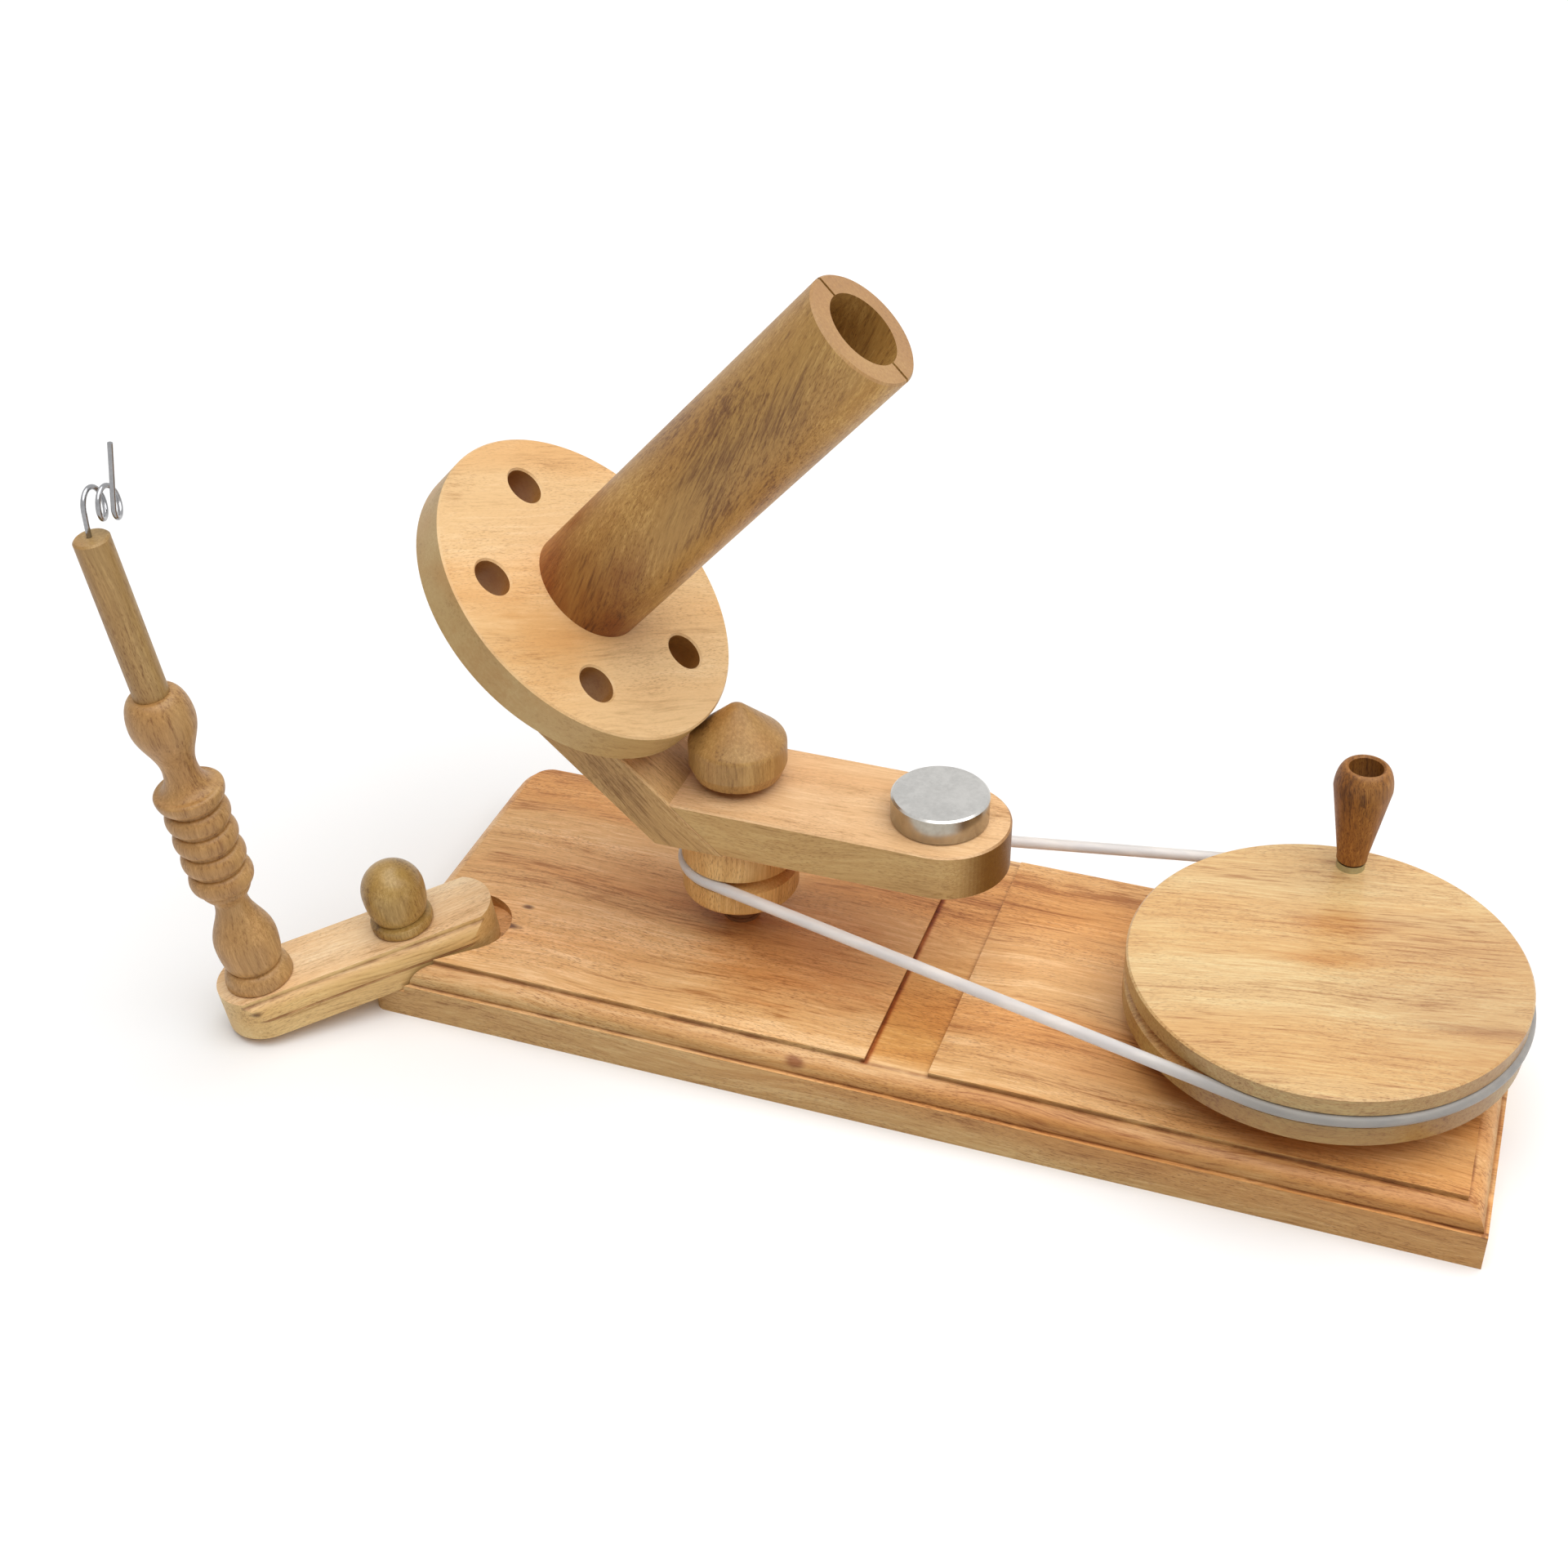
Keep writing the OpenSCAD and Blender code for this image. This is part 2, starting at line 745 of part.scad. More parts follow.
module drive_wheel() {
    color(wood)
        difference() {
            translate([wheel_x, 0, wheel_z])
                turned_disc(wheel_r, wheel_t, edge_cut);
            translate([wheel_x, 0, wheel_belt_z])
                belt_groove(wheel_pitch);
            translate([wheel_x, 0, wheel_z - over])
                cylinder(r = axle_r + fit, h = axle_in_wheel + hole_over + over);
            hub_screw_places()
                translate([0, 0, wheel_z - over])
                    cylinder(r = screw_r + fit, h = hub_screw_l + hole_over + over);
            grip_frame()
                translate([0, 0, wheel_top - grip_screw_in - hole_over])
                    cylinder(r = grip_screw_r + fit, h = grip_screw_in + hole_over + over);
        }
}

module hub_screw_places() {
    for (i = [0:2])
        translate([wheel_x, 0, 0])
            rotate([0, 0, 120 * i])
                translate([hub_screw_ring, 0, 0])
                    children();
}

module wheel_axle() {
    color(steel)
        translate([wheel_x, 0, axle_end_z])
            cylinder(r = axle_r, h = wheel_z + axle_in_wheel - axle_end_z);
}

module wheel_hub() {
    color(steel)
        difference() {
            translate([wheel_x, 0, 0])
                union() {
                    translate([0, 0, wheel_z - hub_t])
                        cylinder(r = hub_r, h = hub_t);
                    translate([0, 0, hub_boss_z])
                        cylinder(r = flange_r, h = wheel_z - hub_boss_z);
                }
            translate([wheel_x, 0, hub_boss_z - over])
                cylinder(r = axle_r + fit, h = wheel_z - hub_boss_z + 2 * over);
            hub_screw_places()
                translate([0, 0, wheel_z - hub_t])
                    countersunk(screw_r + fit, hub_t + over, fit);
        }
}

// A screw that points up from its countersunk head
module countersunk(r, l, extra = 0) {
    cylinder(r1 = 2 * screw_r + extra, r2 = r, h = screw_r);
    cylinder(r = r, h = l);
}

module hub_screws() {
    color(steel)
        hub_screw_places()
            translate([0, 0, wheel_z - hub_t])
                countersunk(screw_r, hub_t + hub_screw_l);
}

module wheel_washer() {
    color(steel)
        translate([wheel_x, 0, axle_sink - flange_t - slide - washer_t])
            ring(flange_r, axle_r + fit, washer_t);
}

module wheel_nut() {
    color(steel)
        translate([wheel_x, 0, axle_sink - flange_t - slide - washer_t - thin_nut_h])
            hex_nut(axle_r + fit, thin_nut_h);
}

module grip_ferrule() {
    color("darkseagreen")
        grip_frame()
            translate([0, 0, wheel_top])
                ring(ferrule_r, grip_screw_r + fit, ferrule_h);
}

module grip_screw() {
    color(steel)
        grip_frame() {
            translate([0, 0, wheel_top - grip_screw_in])
                cylinder(r = grip_screw_r, h = grip_floor + slide - wheel_top + grip_screw_in);
            difference() {
                translate([0, 0, grip_floor + slide])
                    cylinder(r = 2 * grip_screw_r - edge_cut, h = grip_head_h);
                translate([0, 0, grip_floor + slide + grip_head_h / 2])
                    hex(grip_screw_r, grip_head_h);
            }
        }
}

module grip_section() {
    waist_z = grip_l * 0.065;
    swell_z = grip_l * 0.78;
    polygon(concat(
        [[0, 0], [grip_foot_r - edge_cut, 0], [grip_foot_r, edge_cut]],
        [[grip_foot_r, waist_z]],
        shoulder([grip_head_r, swell_z], [grip_hole_r + edge_cut, grip_l]),
        [[0, grip_l]]
    ));
}

module crank_grip() {
    color(dark_wood)
        grip_frame()
            translate([0, 0, grip_z])
                difference() {
                    rotate_extrude()
                        grip_section();
                    translate([0, 0, -over])
                        cylinder(r = grip_screw_r + run, h = grip_l + 2 * over);
                    translate([0, 0, grip_l - grip_hole_h])
                        cylinder(r = grip_hole_r, h = grip_hole_h + over);
                }
}

// A bar along +X with eased edges and a round end
module eased_bar(l) {
    half = bar_w / 2;
    rotate([90, 0, 90])
        linear_extrude(l)
            polygon([
                [-half, edge_cut],
                [edge_cut - half, 0],
                [half - edge_cut, 0],
                [half, edge_cut],
                [half, bar_t - edge_cut],
                [half - edge_cut, bar_t],
                [edge_cut - half, bar_t],
                [-half, bar_t - edge_cut]
            ]);
    translate([l, 0, 0])
        turned_disc(half, bar_t, edge_cut);
}

module arm_bar() {
    color(wood)
        difference() {
            intersection() {
                translate([arm_x, 0, 0])
                    rotate([90, 0, 0])
                        linear_extrude(bar_w, center = true)
                            polygon([
                                [-bend_from_axis, bar_top],
                                [lap - bend_from_axis, bar_z],
                                [bar_reach, bar_z],
                                [bar_reach, bar_top]
                            ]);
                translate([arm_x - bend_from_axis, 0, bar_z])
                    eased_bar(bar_end_x + bend_from_axis);
            }
            arm_joinery();
            translate([weight_x, 0, bar_z])
                weight_screw_body(fit);
        }
}

module pulley_dowel_places() {
    for (i = [0:2])
        translate([arm_x, 0, bar_z])
            rotate([0, 0, 120 * i + 60])
                translate([dowel_ring, 0, 0])
                    children();
}

module bend_dowel_places() {
    for (side = [-1, 1])
        translate([arm_x - bend_from_axis + lap / 2, side * bend_dowel_y, bar_z + bar_t / 2])
            rotate([0, rise_deg, 0])
                children();
}

// Holes that the bar and the riser share, cut through their lapped joint
module arm_joinery() {
    translate([arm_x, 0, bar_z - over])
        cylinder(r = bush_r - fit, h = bar_t + 2 * over);
    translate([arm_x, 0, bar_top - arm_bush_l])
        cylinder(r = bush_r + fit, h = arm_bush_l + over);
    pulley_dowel_places()
        translate([0, 0, -over])
            cylinder(r = dowel_r + fit, h = dowel_l / 2 + fit + over);
    bend_dowel_places()
        cylinder(r = dowel_r + fit, h = bend_dowel_l + 2 * fit, center = true);
}

module arm_riser() {
    color(wood)
        difference() {
            riser_frame()
                intersection() {
                    rotate([90, 0, 0])
                        linear_extrude(bar_w, center = true)
                            polygon([
                                [-lap_slope, 0],
                                [-mitre, -bar_t],
                                [riser_to_spindle + bar_w, -bar_t],
                                [riser_to_spindle + bar_w, 0]
                            ]);
                    translate([-lap_slope, 0, -bar_t])
                        eased_bar(riser_to_spindle + lap_slope);
                }
            arm_joinery();
            spindle_frame()
                translate([0, 0, -bar_t - over]) {
                    cylinder(r = axle_r + fit, h = bar_t + 2 * over);
                    cylinder(r = sink_r, h = bolt_sink + over);
                }
        }
}

module bend_dowels() {
    color(dark_wood)
        bend_dowel_places()
            cylinder(r = dowel_r, h = bend_dowel_l, center = true);
}

module pulley_section() {
    polygon([
        [0, 0],
        [pulley_r - pulley_round, 0],
        [pulley_r, pulley_round],
        [pulley_r, pulley_h],
        [0, pulley_h]
    ]);
    translate([pulley_r - pulley_round, pulley_round])
        circle(r = pulley_round);
}

module belt_pulley() {
    color(wood)
        difference() {
            translate([arm_x, 0, pulley_z])
                rotate_extrude()
                    pulley_section();
            translate([arm_x, 0, pulley_belt_z])
                belt_groove(pulley_pitch);
            translate([arm_x, 0, pulley_z - over]) {
                cylinder(r = bush_r - fit, h = pulley_h + 2 * over);
                cylinder(r = bush_r + fit, h = arm_bush_l + over);
            }
            pulley_dowel_places()
                translate([0, 0, -dowel_l / 2 - fit])
                    cylinder(r = dowel_r + fit, h = dowel_l / 2 + over);
        }
}

module pulley_dowels() {
    color(dark_wood)
        pulley_dowel_places()
            translate([0, 0, -dowel_l / 2])
                cylinder(r = dowel_r, h = dowel_l);
}

module arm_bush_upper() {
    color(bronze)
        translate([arm_x, 0, bar_top])
            mirror([0, 0, 1])
                flanged_bush(arm_bush_l);
}

module arm_bush_lower() {
    color(bronze)
        translate([arm_x, 0, pulley_z])
            flanged_bush(arm_bush_l);
}

module weight_screw_body(extra = 0) {
    cylinder(r1 = 2 * weight_screw_r + extra, r2 = weight_screw_r + extra, h = weight_head_h);
    cylinder(r = weight_screw_r + extra, h = bar_t + weight_screw_in + 2 * extra);
}

module counterweight() {
    color(steel)
        translate([weight_x, 0, 0])
            difference() {
                translate([0, 0, bar_top])
                    turned_disc(weight_r, weight_h, edge_cut);
                translate([0, 0, bar_z])
                    weight_screw_body(fit);
            }
}

module weight_screw() {
    color(steel)
        translate([weight_x, 0, bar_z])
            weight_screw_body();
}

module spindle_bolt() {
    color(steel)
        spindle_frame() {
            translate([0, 0, bolt_sink - bar_t - head_h])
                hex(flange_r, head_h);
            translate([0, 0, bolt_sink - bar_t])
                cylinder(r = axle_r, h = bar_t - bolt_sink + spindle_nut_z + nut_h + bolt_past);
        }
}

module spindle_collar() {
    color(steel)
        spindle_frame()
            ring(bush_r + bush_wall, axle_r + fit, disc_gap - flange_t - slide);
}

module spindle_washer() {
    color(steel)
        spindle_frame()
            translate([0, 0, tenon_z + slide])
                ring(flange_r, axle_r + fit, washer_t);
}

module spindle_nut() {
    color(steel)
        spindle_frame()
            translate([0, 0, spindle_nut_z])
                hex_nut(axle_r + fit, nut_h);
}

// The space of a through hole with eased edges
module eased_hole(r, h) {
    wide = r + edge_cut + eps;
    translate([0, 0, -over])
        cylinder(r = r, h = h + 2 * over);
    translate([0, 0, -eps])
        cylinder(r1 = wide, r2 = r, h = edge_cut + eps);
    translate([0, 0, h - edge_cut])
        cylinder(r1 = r, r2 = wide, h = edge_cut + eps);
}

module spindle_disc() {
    color(wood)
        spindle_frame()
            difference() {
                translate([0, 0, disc_gap])
                    turned_disc(disc_r, disc_t, edge_cut);
                translate([0, 0, disc_gap - over])
                    cylinder(r = bush_r + fit, h = disc_t + 2 * over);
                translate([0, 0, tenon_z])
                    cylinder(r = tenon_r + fit, h = tenon_h + over);
                for (i = [0:hole_count - 1])
                    rotate([0, 0, disc_turn + 360 / hole_count * i])
                        translate([0, -hole_ring_r, disc_gap])
                            eased_hole(hole_d / 2, disc_t);
            }
}

module spindle_tube() {
    color(wood)
        spindle_frame()
            difference() {
                union() {
                    translate([0, 0, tenon_z + fit])
                        cylinder(r = tenon_r, h = tenon_h + over);
                    translate([0, 0, disc_face])
                        rotate_extrude()
                            polygon([
                                [0, 0],
                                [tube_r, 0],
                                [tube_r, tube_l - edge_cut],
                                [tube_r - edge_cut, tube_l],
                                [0, tube_l]
                            ]);
                }
                translate([0, 0, tenon_z - over])
                    cylinder(r = tube_bore, h = tube_l + tenon_h + 2 * over);
                translate([0, 0, disc_face + tube_l - slit_h])
                    rotate([0, 0, slit_turn - 90])
                        translate([-tube_r - over, -slit_w / 2, 0])
                            cube([2 * tube_r + 2 * over, slit_w, slit_h + over]);
            }
}

module spindle_bush() {
    color(bronze)
        spindle_frame()
            translate([0, 0, disc_gap])
                flanged_bush(tenon_z - disc_gap);
}

// Section of the moulded guide arm, width along x and height along y
module guide_section() {
    translate([-guide_w / 2, 0])
        square([guide_w, guide_t - guide_bead_h]);
    translate([-guide_panel_w / 2, 0])
        square([guide_panel_w, guide_t]);
    for (side = [0, 1])
        mirror([side, 0])
            intersection() {
                translate([bead_x, guide_t - guide_bead_h])
                    circle(r = bead_r);
                translate([0, guide_t - guide_bead_h])
                    square([guide_w, bead_fall]);
            }
}

module guide_arm() {
    color(wood)
        guide_frame()
            difference() {
                intersection() {
                    translate([-guide_inner - guide_w, 0, 0])
                        rotate([90, 0, 90])
                            linear_extrude(guide_inner + guide_outer + 2 * guide_w)
                                guide_section();
                    linear_extrude(guide_t) {
                        translate([-guide_inner, 0])
                            circle(d = guide_w);
                        translate([guide_outer, 0])
                            circle(d = guide_w);
                        translate([-guide_inner, -guide_w / 2])
                            square([guide_inner + guide_outer, guide_w]);
                    }
                }
                translate([0, 0, -over])
                    cylinder(r = stud_r + run, h = guide_t + 2 * over);
                translate([guide_outer, 0, guide_t - post_tenon_h - fit])
                    cylinder(r = post_tenon_r + fit, h = post_tenon_h + fit + over);
            }
}

module post_section() {
    ring_r = post_r - ring_groove;
    waist_z = post_vase_h * 0.5;
    swell_z = cup_z + post_cup_h * 0.71;
    collar_z = cup_z - ring_h;
    rim_z0 = collar_z + collar_h;
    rim_round = 2 * edge_cut;
    cove_r = post_collar_r - rim_round - eps;
    polygon(concat(
        [[0, 0]],
        [[post_foot_r - edge_cut, 0]],
        shoulder([post_foot_r, edge_cut], [post_belly_r - ring_groove, post_foot_h]),
        belly([post_belly_r - ring_groove, post_foot_h + edge_cut], [post_belly_r, waist_z]),
        ogee([post_belly_r, waist_z + eps], [post_neck_r, post_vase_h]),
        ogee([post_neck_r, post_vase_h + eps], [ring_r, rings_z - eps]),
        [for (i = [0:ring_count - 2])
            each bead(ring_r, post_r, rings_z + i * ring_h + ring_gap / 2,
                rings_z + (i + 1) * ring_h - ring_gap / 2)],
        belly([ring_r, collar_z + ring_gap / 2], [post_collar_r, rim_z0]),
        shoulder([post_collar_r, rim_z0 + eps], [post_collar_r - rim_round, rim_z0 + rim_round]),
        belly([cove_r, rim_z0 + rim_round + eps], [post_neck_r, cup_z + post_cove_h]),
        ogee([post_neck_r, cup_z + post_cove_h + eps], [post_r, swell_z]),
        shoulder([post_r, swell_z + eps], [rod_r + edge_cut, cup_top]),
        [[0, cup_top]]
    ));
}

module guide_post() {
    color(wood)
        post_frame()
            difference() {
                union() {
                    rotate_extrude()
                        post_section();
                    translate([0, 0, -post_tenon_h])
                        cylinder(r = post_tenon_r, h = post_tenon_h + over);
                }
                translate([0, 0, cup_top - rod_socket])
                    cylinder(r = rod_r + fit, h = rod_socket + over);
            }
}

module guide_rod() {
    rod_z = cup_top - rod_socket + fit;
    color(wood)
        post_frame()
            difference() {
                translate([0, 0, rod_z])
                    turned_disc(rod_r, rod_top - rod_z, edge_cut);
                translate(leg_foot)
                    rotate([0, 0, -coil_yaw])
                        rotate([0, -wire_lean, 0])
                            translate([0, 0, -fit])
                                cylinder(d = wire_d + 2 * fit, h = 2 * wire_sunk);
            }
}

// Wire path in the post's frame: a straight leg, a coil, a straight tail
coil_axis = [-cos(coil_yaw), sin(coil_yaw), 0];
coil_side = [sin(coil_yaw), cos(coil_yaw), 0];
coil_start = [-coil_off, 0, rod_top + coil_up];
coil_rise = [0, 0, 1] * 2 * PI * coil_r + coil_axis * coil_pitch;
leg_way = coil_rise / norm(coil_rise);
wire_lean = atan(coil_pitch / (2 * PI * coil_r));
tail_way = [0, 0, 1] * cos(tail_lean) + coil_axis * sin(tail_lean);
leg_foot = coil_start - leg_way * (coil_up + wire_sunk) / leg_way[2];
coil_steps = 24;
coil_last = coil_steps * coil_turns;
wire_sides = 6;

function coil_spoke(t) = coil_side * cos(t) + [0, 0, 1] * sin(t);
function coil_point(t) = coil_start - coil_side * coil_r + coil_spoke(t) * coil_r
    + coil_axis * coil_pitch * t / 360;
function coil_tangent(t) = let (w = (coil_spoke(t + 90) * 2 * PI * coil_r + coil_axis * coil_pitch))
    w / norm(w);
function wire_ring(p, way, spoke) = [for (k = [0:wire_sides - 1]) let (a = 360 * k / wire_sides)
    p + wire_d / 2 * (spoke * cos(a) + cross(way, spoke) * sin(a))];

coil_points = [for (i = [0:coil_last]) coil_point(360 * i / coil_steps)];
coil_end = coil_points[coil_last];
wire_rings = concat(
    [wire_ring(leg_foot, leg_way, coil_side)],
    [for (i = [0:coil_last]) let (t = 360 * i / coil_steps)
        wire_ring(coil_point(t), coil_tangent(t), coil_spoke(t))],
    [wire_ring(coil_end + tail_way * tail_l, tail_way, coil_side)]
);

// Least gap between parts of the wire that are half a turn or more apart
wire_step = 2 * PI * coil_r / coil_steps;
wire_points = concat(
    [for (i = [floor(coil_up / wire_step):-1:1]) coil_start - leg_way * wire_step * i],
    coil_points,
    [for (i = [1:floor(tail_l / wire_step)]) coil_end + tail_way * wire_step * i]
);
wire_gap = min([for (i = [0:len(wire_points) - 1])
    for (j = [i + coil_steps / 2:1:len(wire_points) - 1])
        norm(wire_points[i] - wire_points[j])]) - wire_d;
echo(wire_gap = wire_gap);

module wire_eye() {
    color(steel)
        post_frame()
            swept_tube(wire_rings, false);
}

module knob_section() {
    polygon(concat(
        [[0, 0]],
        bead(knob_r - edge_cut, knob_r, 0, knob_foot_h),
        belly([knob_neck_r, knob_foot_h + edge_cut], [knob_r, knob_mid_h - eps]),
        shoulder([knob_r, knob_mid_h], [0, knob_h], 12)
    ));
}

module guide_knob() {
    color(wood)
        guide_frame()
            translate([0, 0, guide_t + slide])
                difference() {
                    rotate_extrude()
                        knob_section();
                    translate([0, 0, -over])
                        cylinder(r = stud_r + fit, h = stud_grip + fit + over);
                }
}

module knob_stud() {
    color(steel)
        guide_frame()
            translate([0, 0, -insert_h])
                cylinder(r = stud_r, h = insert_h + guide_t + slide + stud_grip);
}

base_board();
centre_bolt();
centre_washer();
centre_nut();
centre_spacer();
cone_washer();
cone_insert();
friction_cone();
drive_belt();
wheel_bush_upper();
wheel_bush_lower();
guide_insert();
drive_wheel();
wheel_axle();
wheel_hub();
hub_screws();
wheel_washer();
wheel_nut();
grip_ferrule();
grip_screw();
crank_grip();
arm_bar();
arm_riser();
bend_dowels();
belt_pulley();
pulley_dowels();
arm_bush_upper();
arm_bush_lower();
counterweight();
weight_screw();
spindle_bolt();
spindle_collar();
spindle_washer();
spindle_nut();
spindle_disc();
spindle_tube();
spindle_bush();
guide_arm();
guide_post();
guide_rod();
wire_eye();
guide_knob();
knob_stud();
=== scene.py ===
# %% [markdown]
# # A wooden yarn ball winder
# A crank turns a wooden wheel, a round belt carries the turning to an arm, and the arm carries a
# tilted spindle round a wooden cone, so that yarn winds into a neat ball. The solids come from CAD
# as a fixed frame. This lesson gives them their looks: wood with grain, bright steel, a milky belt,
# a studio and a camera.

import math

import bmesh
import bpy
from mathutils import Matrix, Vector


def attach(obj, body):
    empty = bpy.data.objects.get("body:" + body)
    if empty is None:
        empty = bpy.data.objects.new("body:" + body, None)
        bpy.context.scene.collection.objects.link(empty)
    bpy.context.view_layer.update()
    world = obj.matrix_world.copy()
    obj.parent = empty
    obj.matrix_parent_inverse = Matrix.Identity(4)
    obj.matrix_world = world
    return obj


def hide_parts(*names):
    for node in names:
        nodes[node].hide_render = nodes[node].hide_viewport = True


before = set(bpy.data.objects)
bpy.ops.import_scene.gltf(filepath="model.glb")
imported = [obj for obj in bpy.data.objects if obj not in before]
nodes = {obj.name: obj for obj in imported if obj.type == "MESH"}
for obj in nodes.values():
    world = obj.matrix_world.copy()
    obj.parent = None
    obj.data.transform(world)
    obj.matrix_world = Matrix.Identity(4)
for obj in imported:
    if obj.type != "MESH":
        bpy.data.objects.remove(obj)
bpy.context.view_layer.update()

# %% [markdown]
# ## The camera
# The picture was taken from the right front, 35 degrees above the table, with a normal lens. A
# camera is a position and three axes, so its matrix is written straight from the angles, and the
# lens from the frame's width in pixels.

# %% Camera
MM = 0.001
SENSOR = 36.0
IMAGE_WIDTH = 1920
FOCAL_PIXELS = 2754.0
AZIMUTH, ELEVATION, ROLL = (math.radians(angle) for angle in (19.98, 35.0, -0.781))
AIM = Vector((-0.071984, 0.0, 0.098363))
DISTANCE = 0.924785


def add_object(name, data):
    """Makes an object of some data and puts it in the scene."""
    made = bpy.data.objects.new(name, data)
    bpy.context.scene.collection.objects.link(made)
    return made


def camera_matrix():
    """Where the camera stands: its right, up and backward axes, and its place."""
    forward = Vector((-math.sin(AZIMUTH) * math.cos(ELEVATION),
                      math.cos(AZIMUTH) * math.cos(ELEVATION), -math.sin(ELEVATION)))
    level = Vector((math.cos(AZIMUTH), math.sin(AZIMUTH), 0))
    above = level.cross(forward)
    right = level * math.cos(ROLL) + above * math.sin(ROLL)
    up = above * math.cos(ROLL) - level * math.sin(ROLL)
    axes = Matrix((right, up, -forward)).transposed().to_4x4()
    return Matrix.Translation(AIM - forward * DISTANCE) @ axes


lens = bpy.data.cameras.new("camera")
lens.sensor_fit = "HORIZONTAL"
lens.sensor_width = SENSOR
lens.lens = FOCAL_PIXELS * SENSOR / IMAGE_WIDTH
camera = add_object("camera", lens)
camera.matrix_world = camera_matrix()
bpy.context.scene.camera = camera
print("camera: lens %.1f mm, %.2f m from the object" % (lens.lens, DISTANCE))

# %% [markdown]
# ## Where the parts stand
# Wood has a direction. Grain runs along a board, up a turned post and along a tube, so each piece
# needs the axes it was made in. Three pieces are tilted: the guide with its post, the riser, and
# the spindle. Their frames are repeated here from the CAD sizes, in metres.

# %% Frames of the tilted pieces
GUIDE_PIVOT = Vector((-220.3, -60.6, 14.85)) * MM
GUIDE_YAW, GUIDE_TILT = math.radians(222), math.radians(8)
GUIDE_THICK, POST_REACH = 19.25 * MM, 63 * MM
RISE = math.radians(42.3)
BEND = Vector((-112.2, 0, 96.3)) * MM
RISER_TO_SPINDLE = 84.8 * MM
WHEEL_AXIS = Vector((154, 0, 0)) * MM
ARM_AXIS = Vector((-92, 0, 0)) * MM
CRANK_RADIUS, CRANK_TURN = 66 * MM, math.radians(90.5)
GRIP_FOOT = 66.3 * MM
KNOB_GAP = 0.3 * MM

guide_frame = (Matrix.Translation(GUIDE_PIVOT) @ Matrix.Rotation(GUIDE_YAW, 4, "Z")
               @ Matrix.Rotation(GUIDE_TILT, 4, "Y"))
post_frame = guide_frame @ Matrix.Translation((POST_REACH, 0, GUIDE_THICK))
knob_frame = guide_frame @ Matrix.Translation((0, 0, GUIDE_THICK + KNOB_GAP))
riser_frame = (Matrix.Translation(BEND) @ Matrix.Rotation(RISE, 4, "Y")
               @ Matrix.Rotation(math.pi, 4, "Z"))
spindle_frame = riser_frame @ Matrix.Translation((RISER_TO_SPINDLE, 0, 0))
crank_pin = Vector((CRANK_RADIUS * math.cos(CRANK_TURN), CRANK_RADIUS * math.sin(CRANK_TURN),
                    GRIP_FOOT))
grip_frame = Matrix.Translation(WHEEL_AXIS + crank_pin)
print("post stands at", [round(c, 4) for c in post_frame.translation])

# %% [markdown]
# ## Small helpers for node trees
# A material or a geometry tree is a net of nodes. Short helpers keep the script readable: `fill`
# sets or links the inputs of a node, `put` adds a node, `calc` and `vector` add one sum, `fade`
# maps a range of numbers smoothly to 0 and 1, `tint` mixes two colours, `noise` makes stretched
# noise, and `paint` turns a picked colour into a linear one.

# %% Node helpers


def fill(tree, node, inputs):
    """Fills each named input of a node with a value or a link."""
    for socket, value in inputs.items():
        if isinstance(value, bpy.types.NodeSocket):
            tree.links.new(value, node.inputs[socket])
        else:
            node.inputs[socket].default_value = value


def put(tree, kind, inputs=None, **settings):
    """Adds a node, applies its settings and fills its inputs."""
    made = tree.nodes.new(kind)
    for name, value in settings.items():
        setattr(made, name, value)
    fill(tree, made, inputs or {})
    return made


def calc(tree, operation, a, b=0.0, clamp=False):
    made = put(tree, "ShaderNodeMath", {0: a, 1: b}, operation=operation, use_clamp=clamp)
    return made.outputs[0]


def vector(tree, operation, a, b=(0, 0, 0), out=0):
    return put(tree, "ShaderNodeVectorMath", {0: a, 1: b}, operation=operation).outputs[out]


def fade(tree, value, start, end):
    """0 at start, 1 at end, with a soft step between them."""
    made = put(tree, "ShaderNodeMapRange", {"Value": value, "From Min": start, "From Max": end},
               interpolation_type="SMOOTHSTEP")
    return made.outputs["Result"]


def tint(tree, amount, under, over, mode="MIX"):
    made = put(tree, "ShaderNodeMix", {0: amount, 6: under, 7: over}, data_type="RGBA",
               blend_type=mode)
    return made.outputs[2]


def noise(tree, place, stretch, detail=2.0, rough=0.5):
    """Noise whose features are 1 / stretch metres long in each direction."""
    scaled = vector(tree, "MULTIPLY", place, stretch)
    made = put(tree, "ShaderNodeTexNoise", {"Vector": scaled, "Scale": 1.0, "Detail": detail,
                                            "Roughness": rough})
    return made.outputs["Fac"]


def paint(red, green, blue):
    """A colour as a colour picker shows it, turned into the linear numbers that shaders use."""
    def linear(c):
        c = c / 255
        return c / 12.92 if c <= 0.04045 else ((c + 0.055) / 1.055) ** 2.4
    return (linear(red), linear(green), linear(blue), 1.0)


print("helpers ready; mid tan is", [round(c, 3) for c in paint(205, 152, 102)])

# %% [markdown]
# ## Wood, as one node group
# Mango wood has three things to see: broad streaks along the grain, fine lines, and thousands of
# short dark pores like pencil dashes. All three are noise that is stretched along the grain, each
# at its own scale. The pattern is solid: it fills space, so the end of a tube shows dots where its
# side shows dashes, as real wood does. One group holds the recipe, and each piece feeds it its own
# colours and strengths.

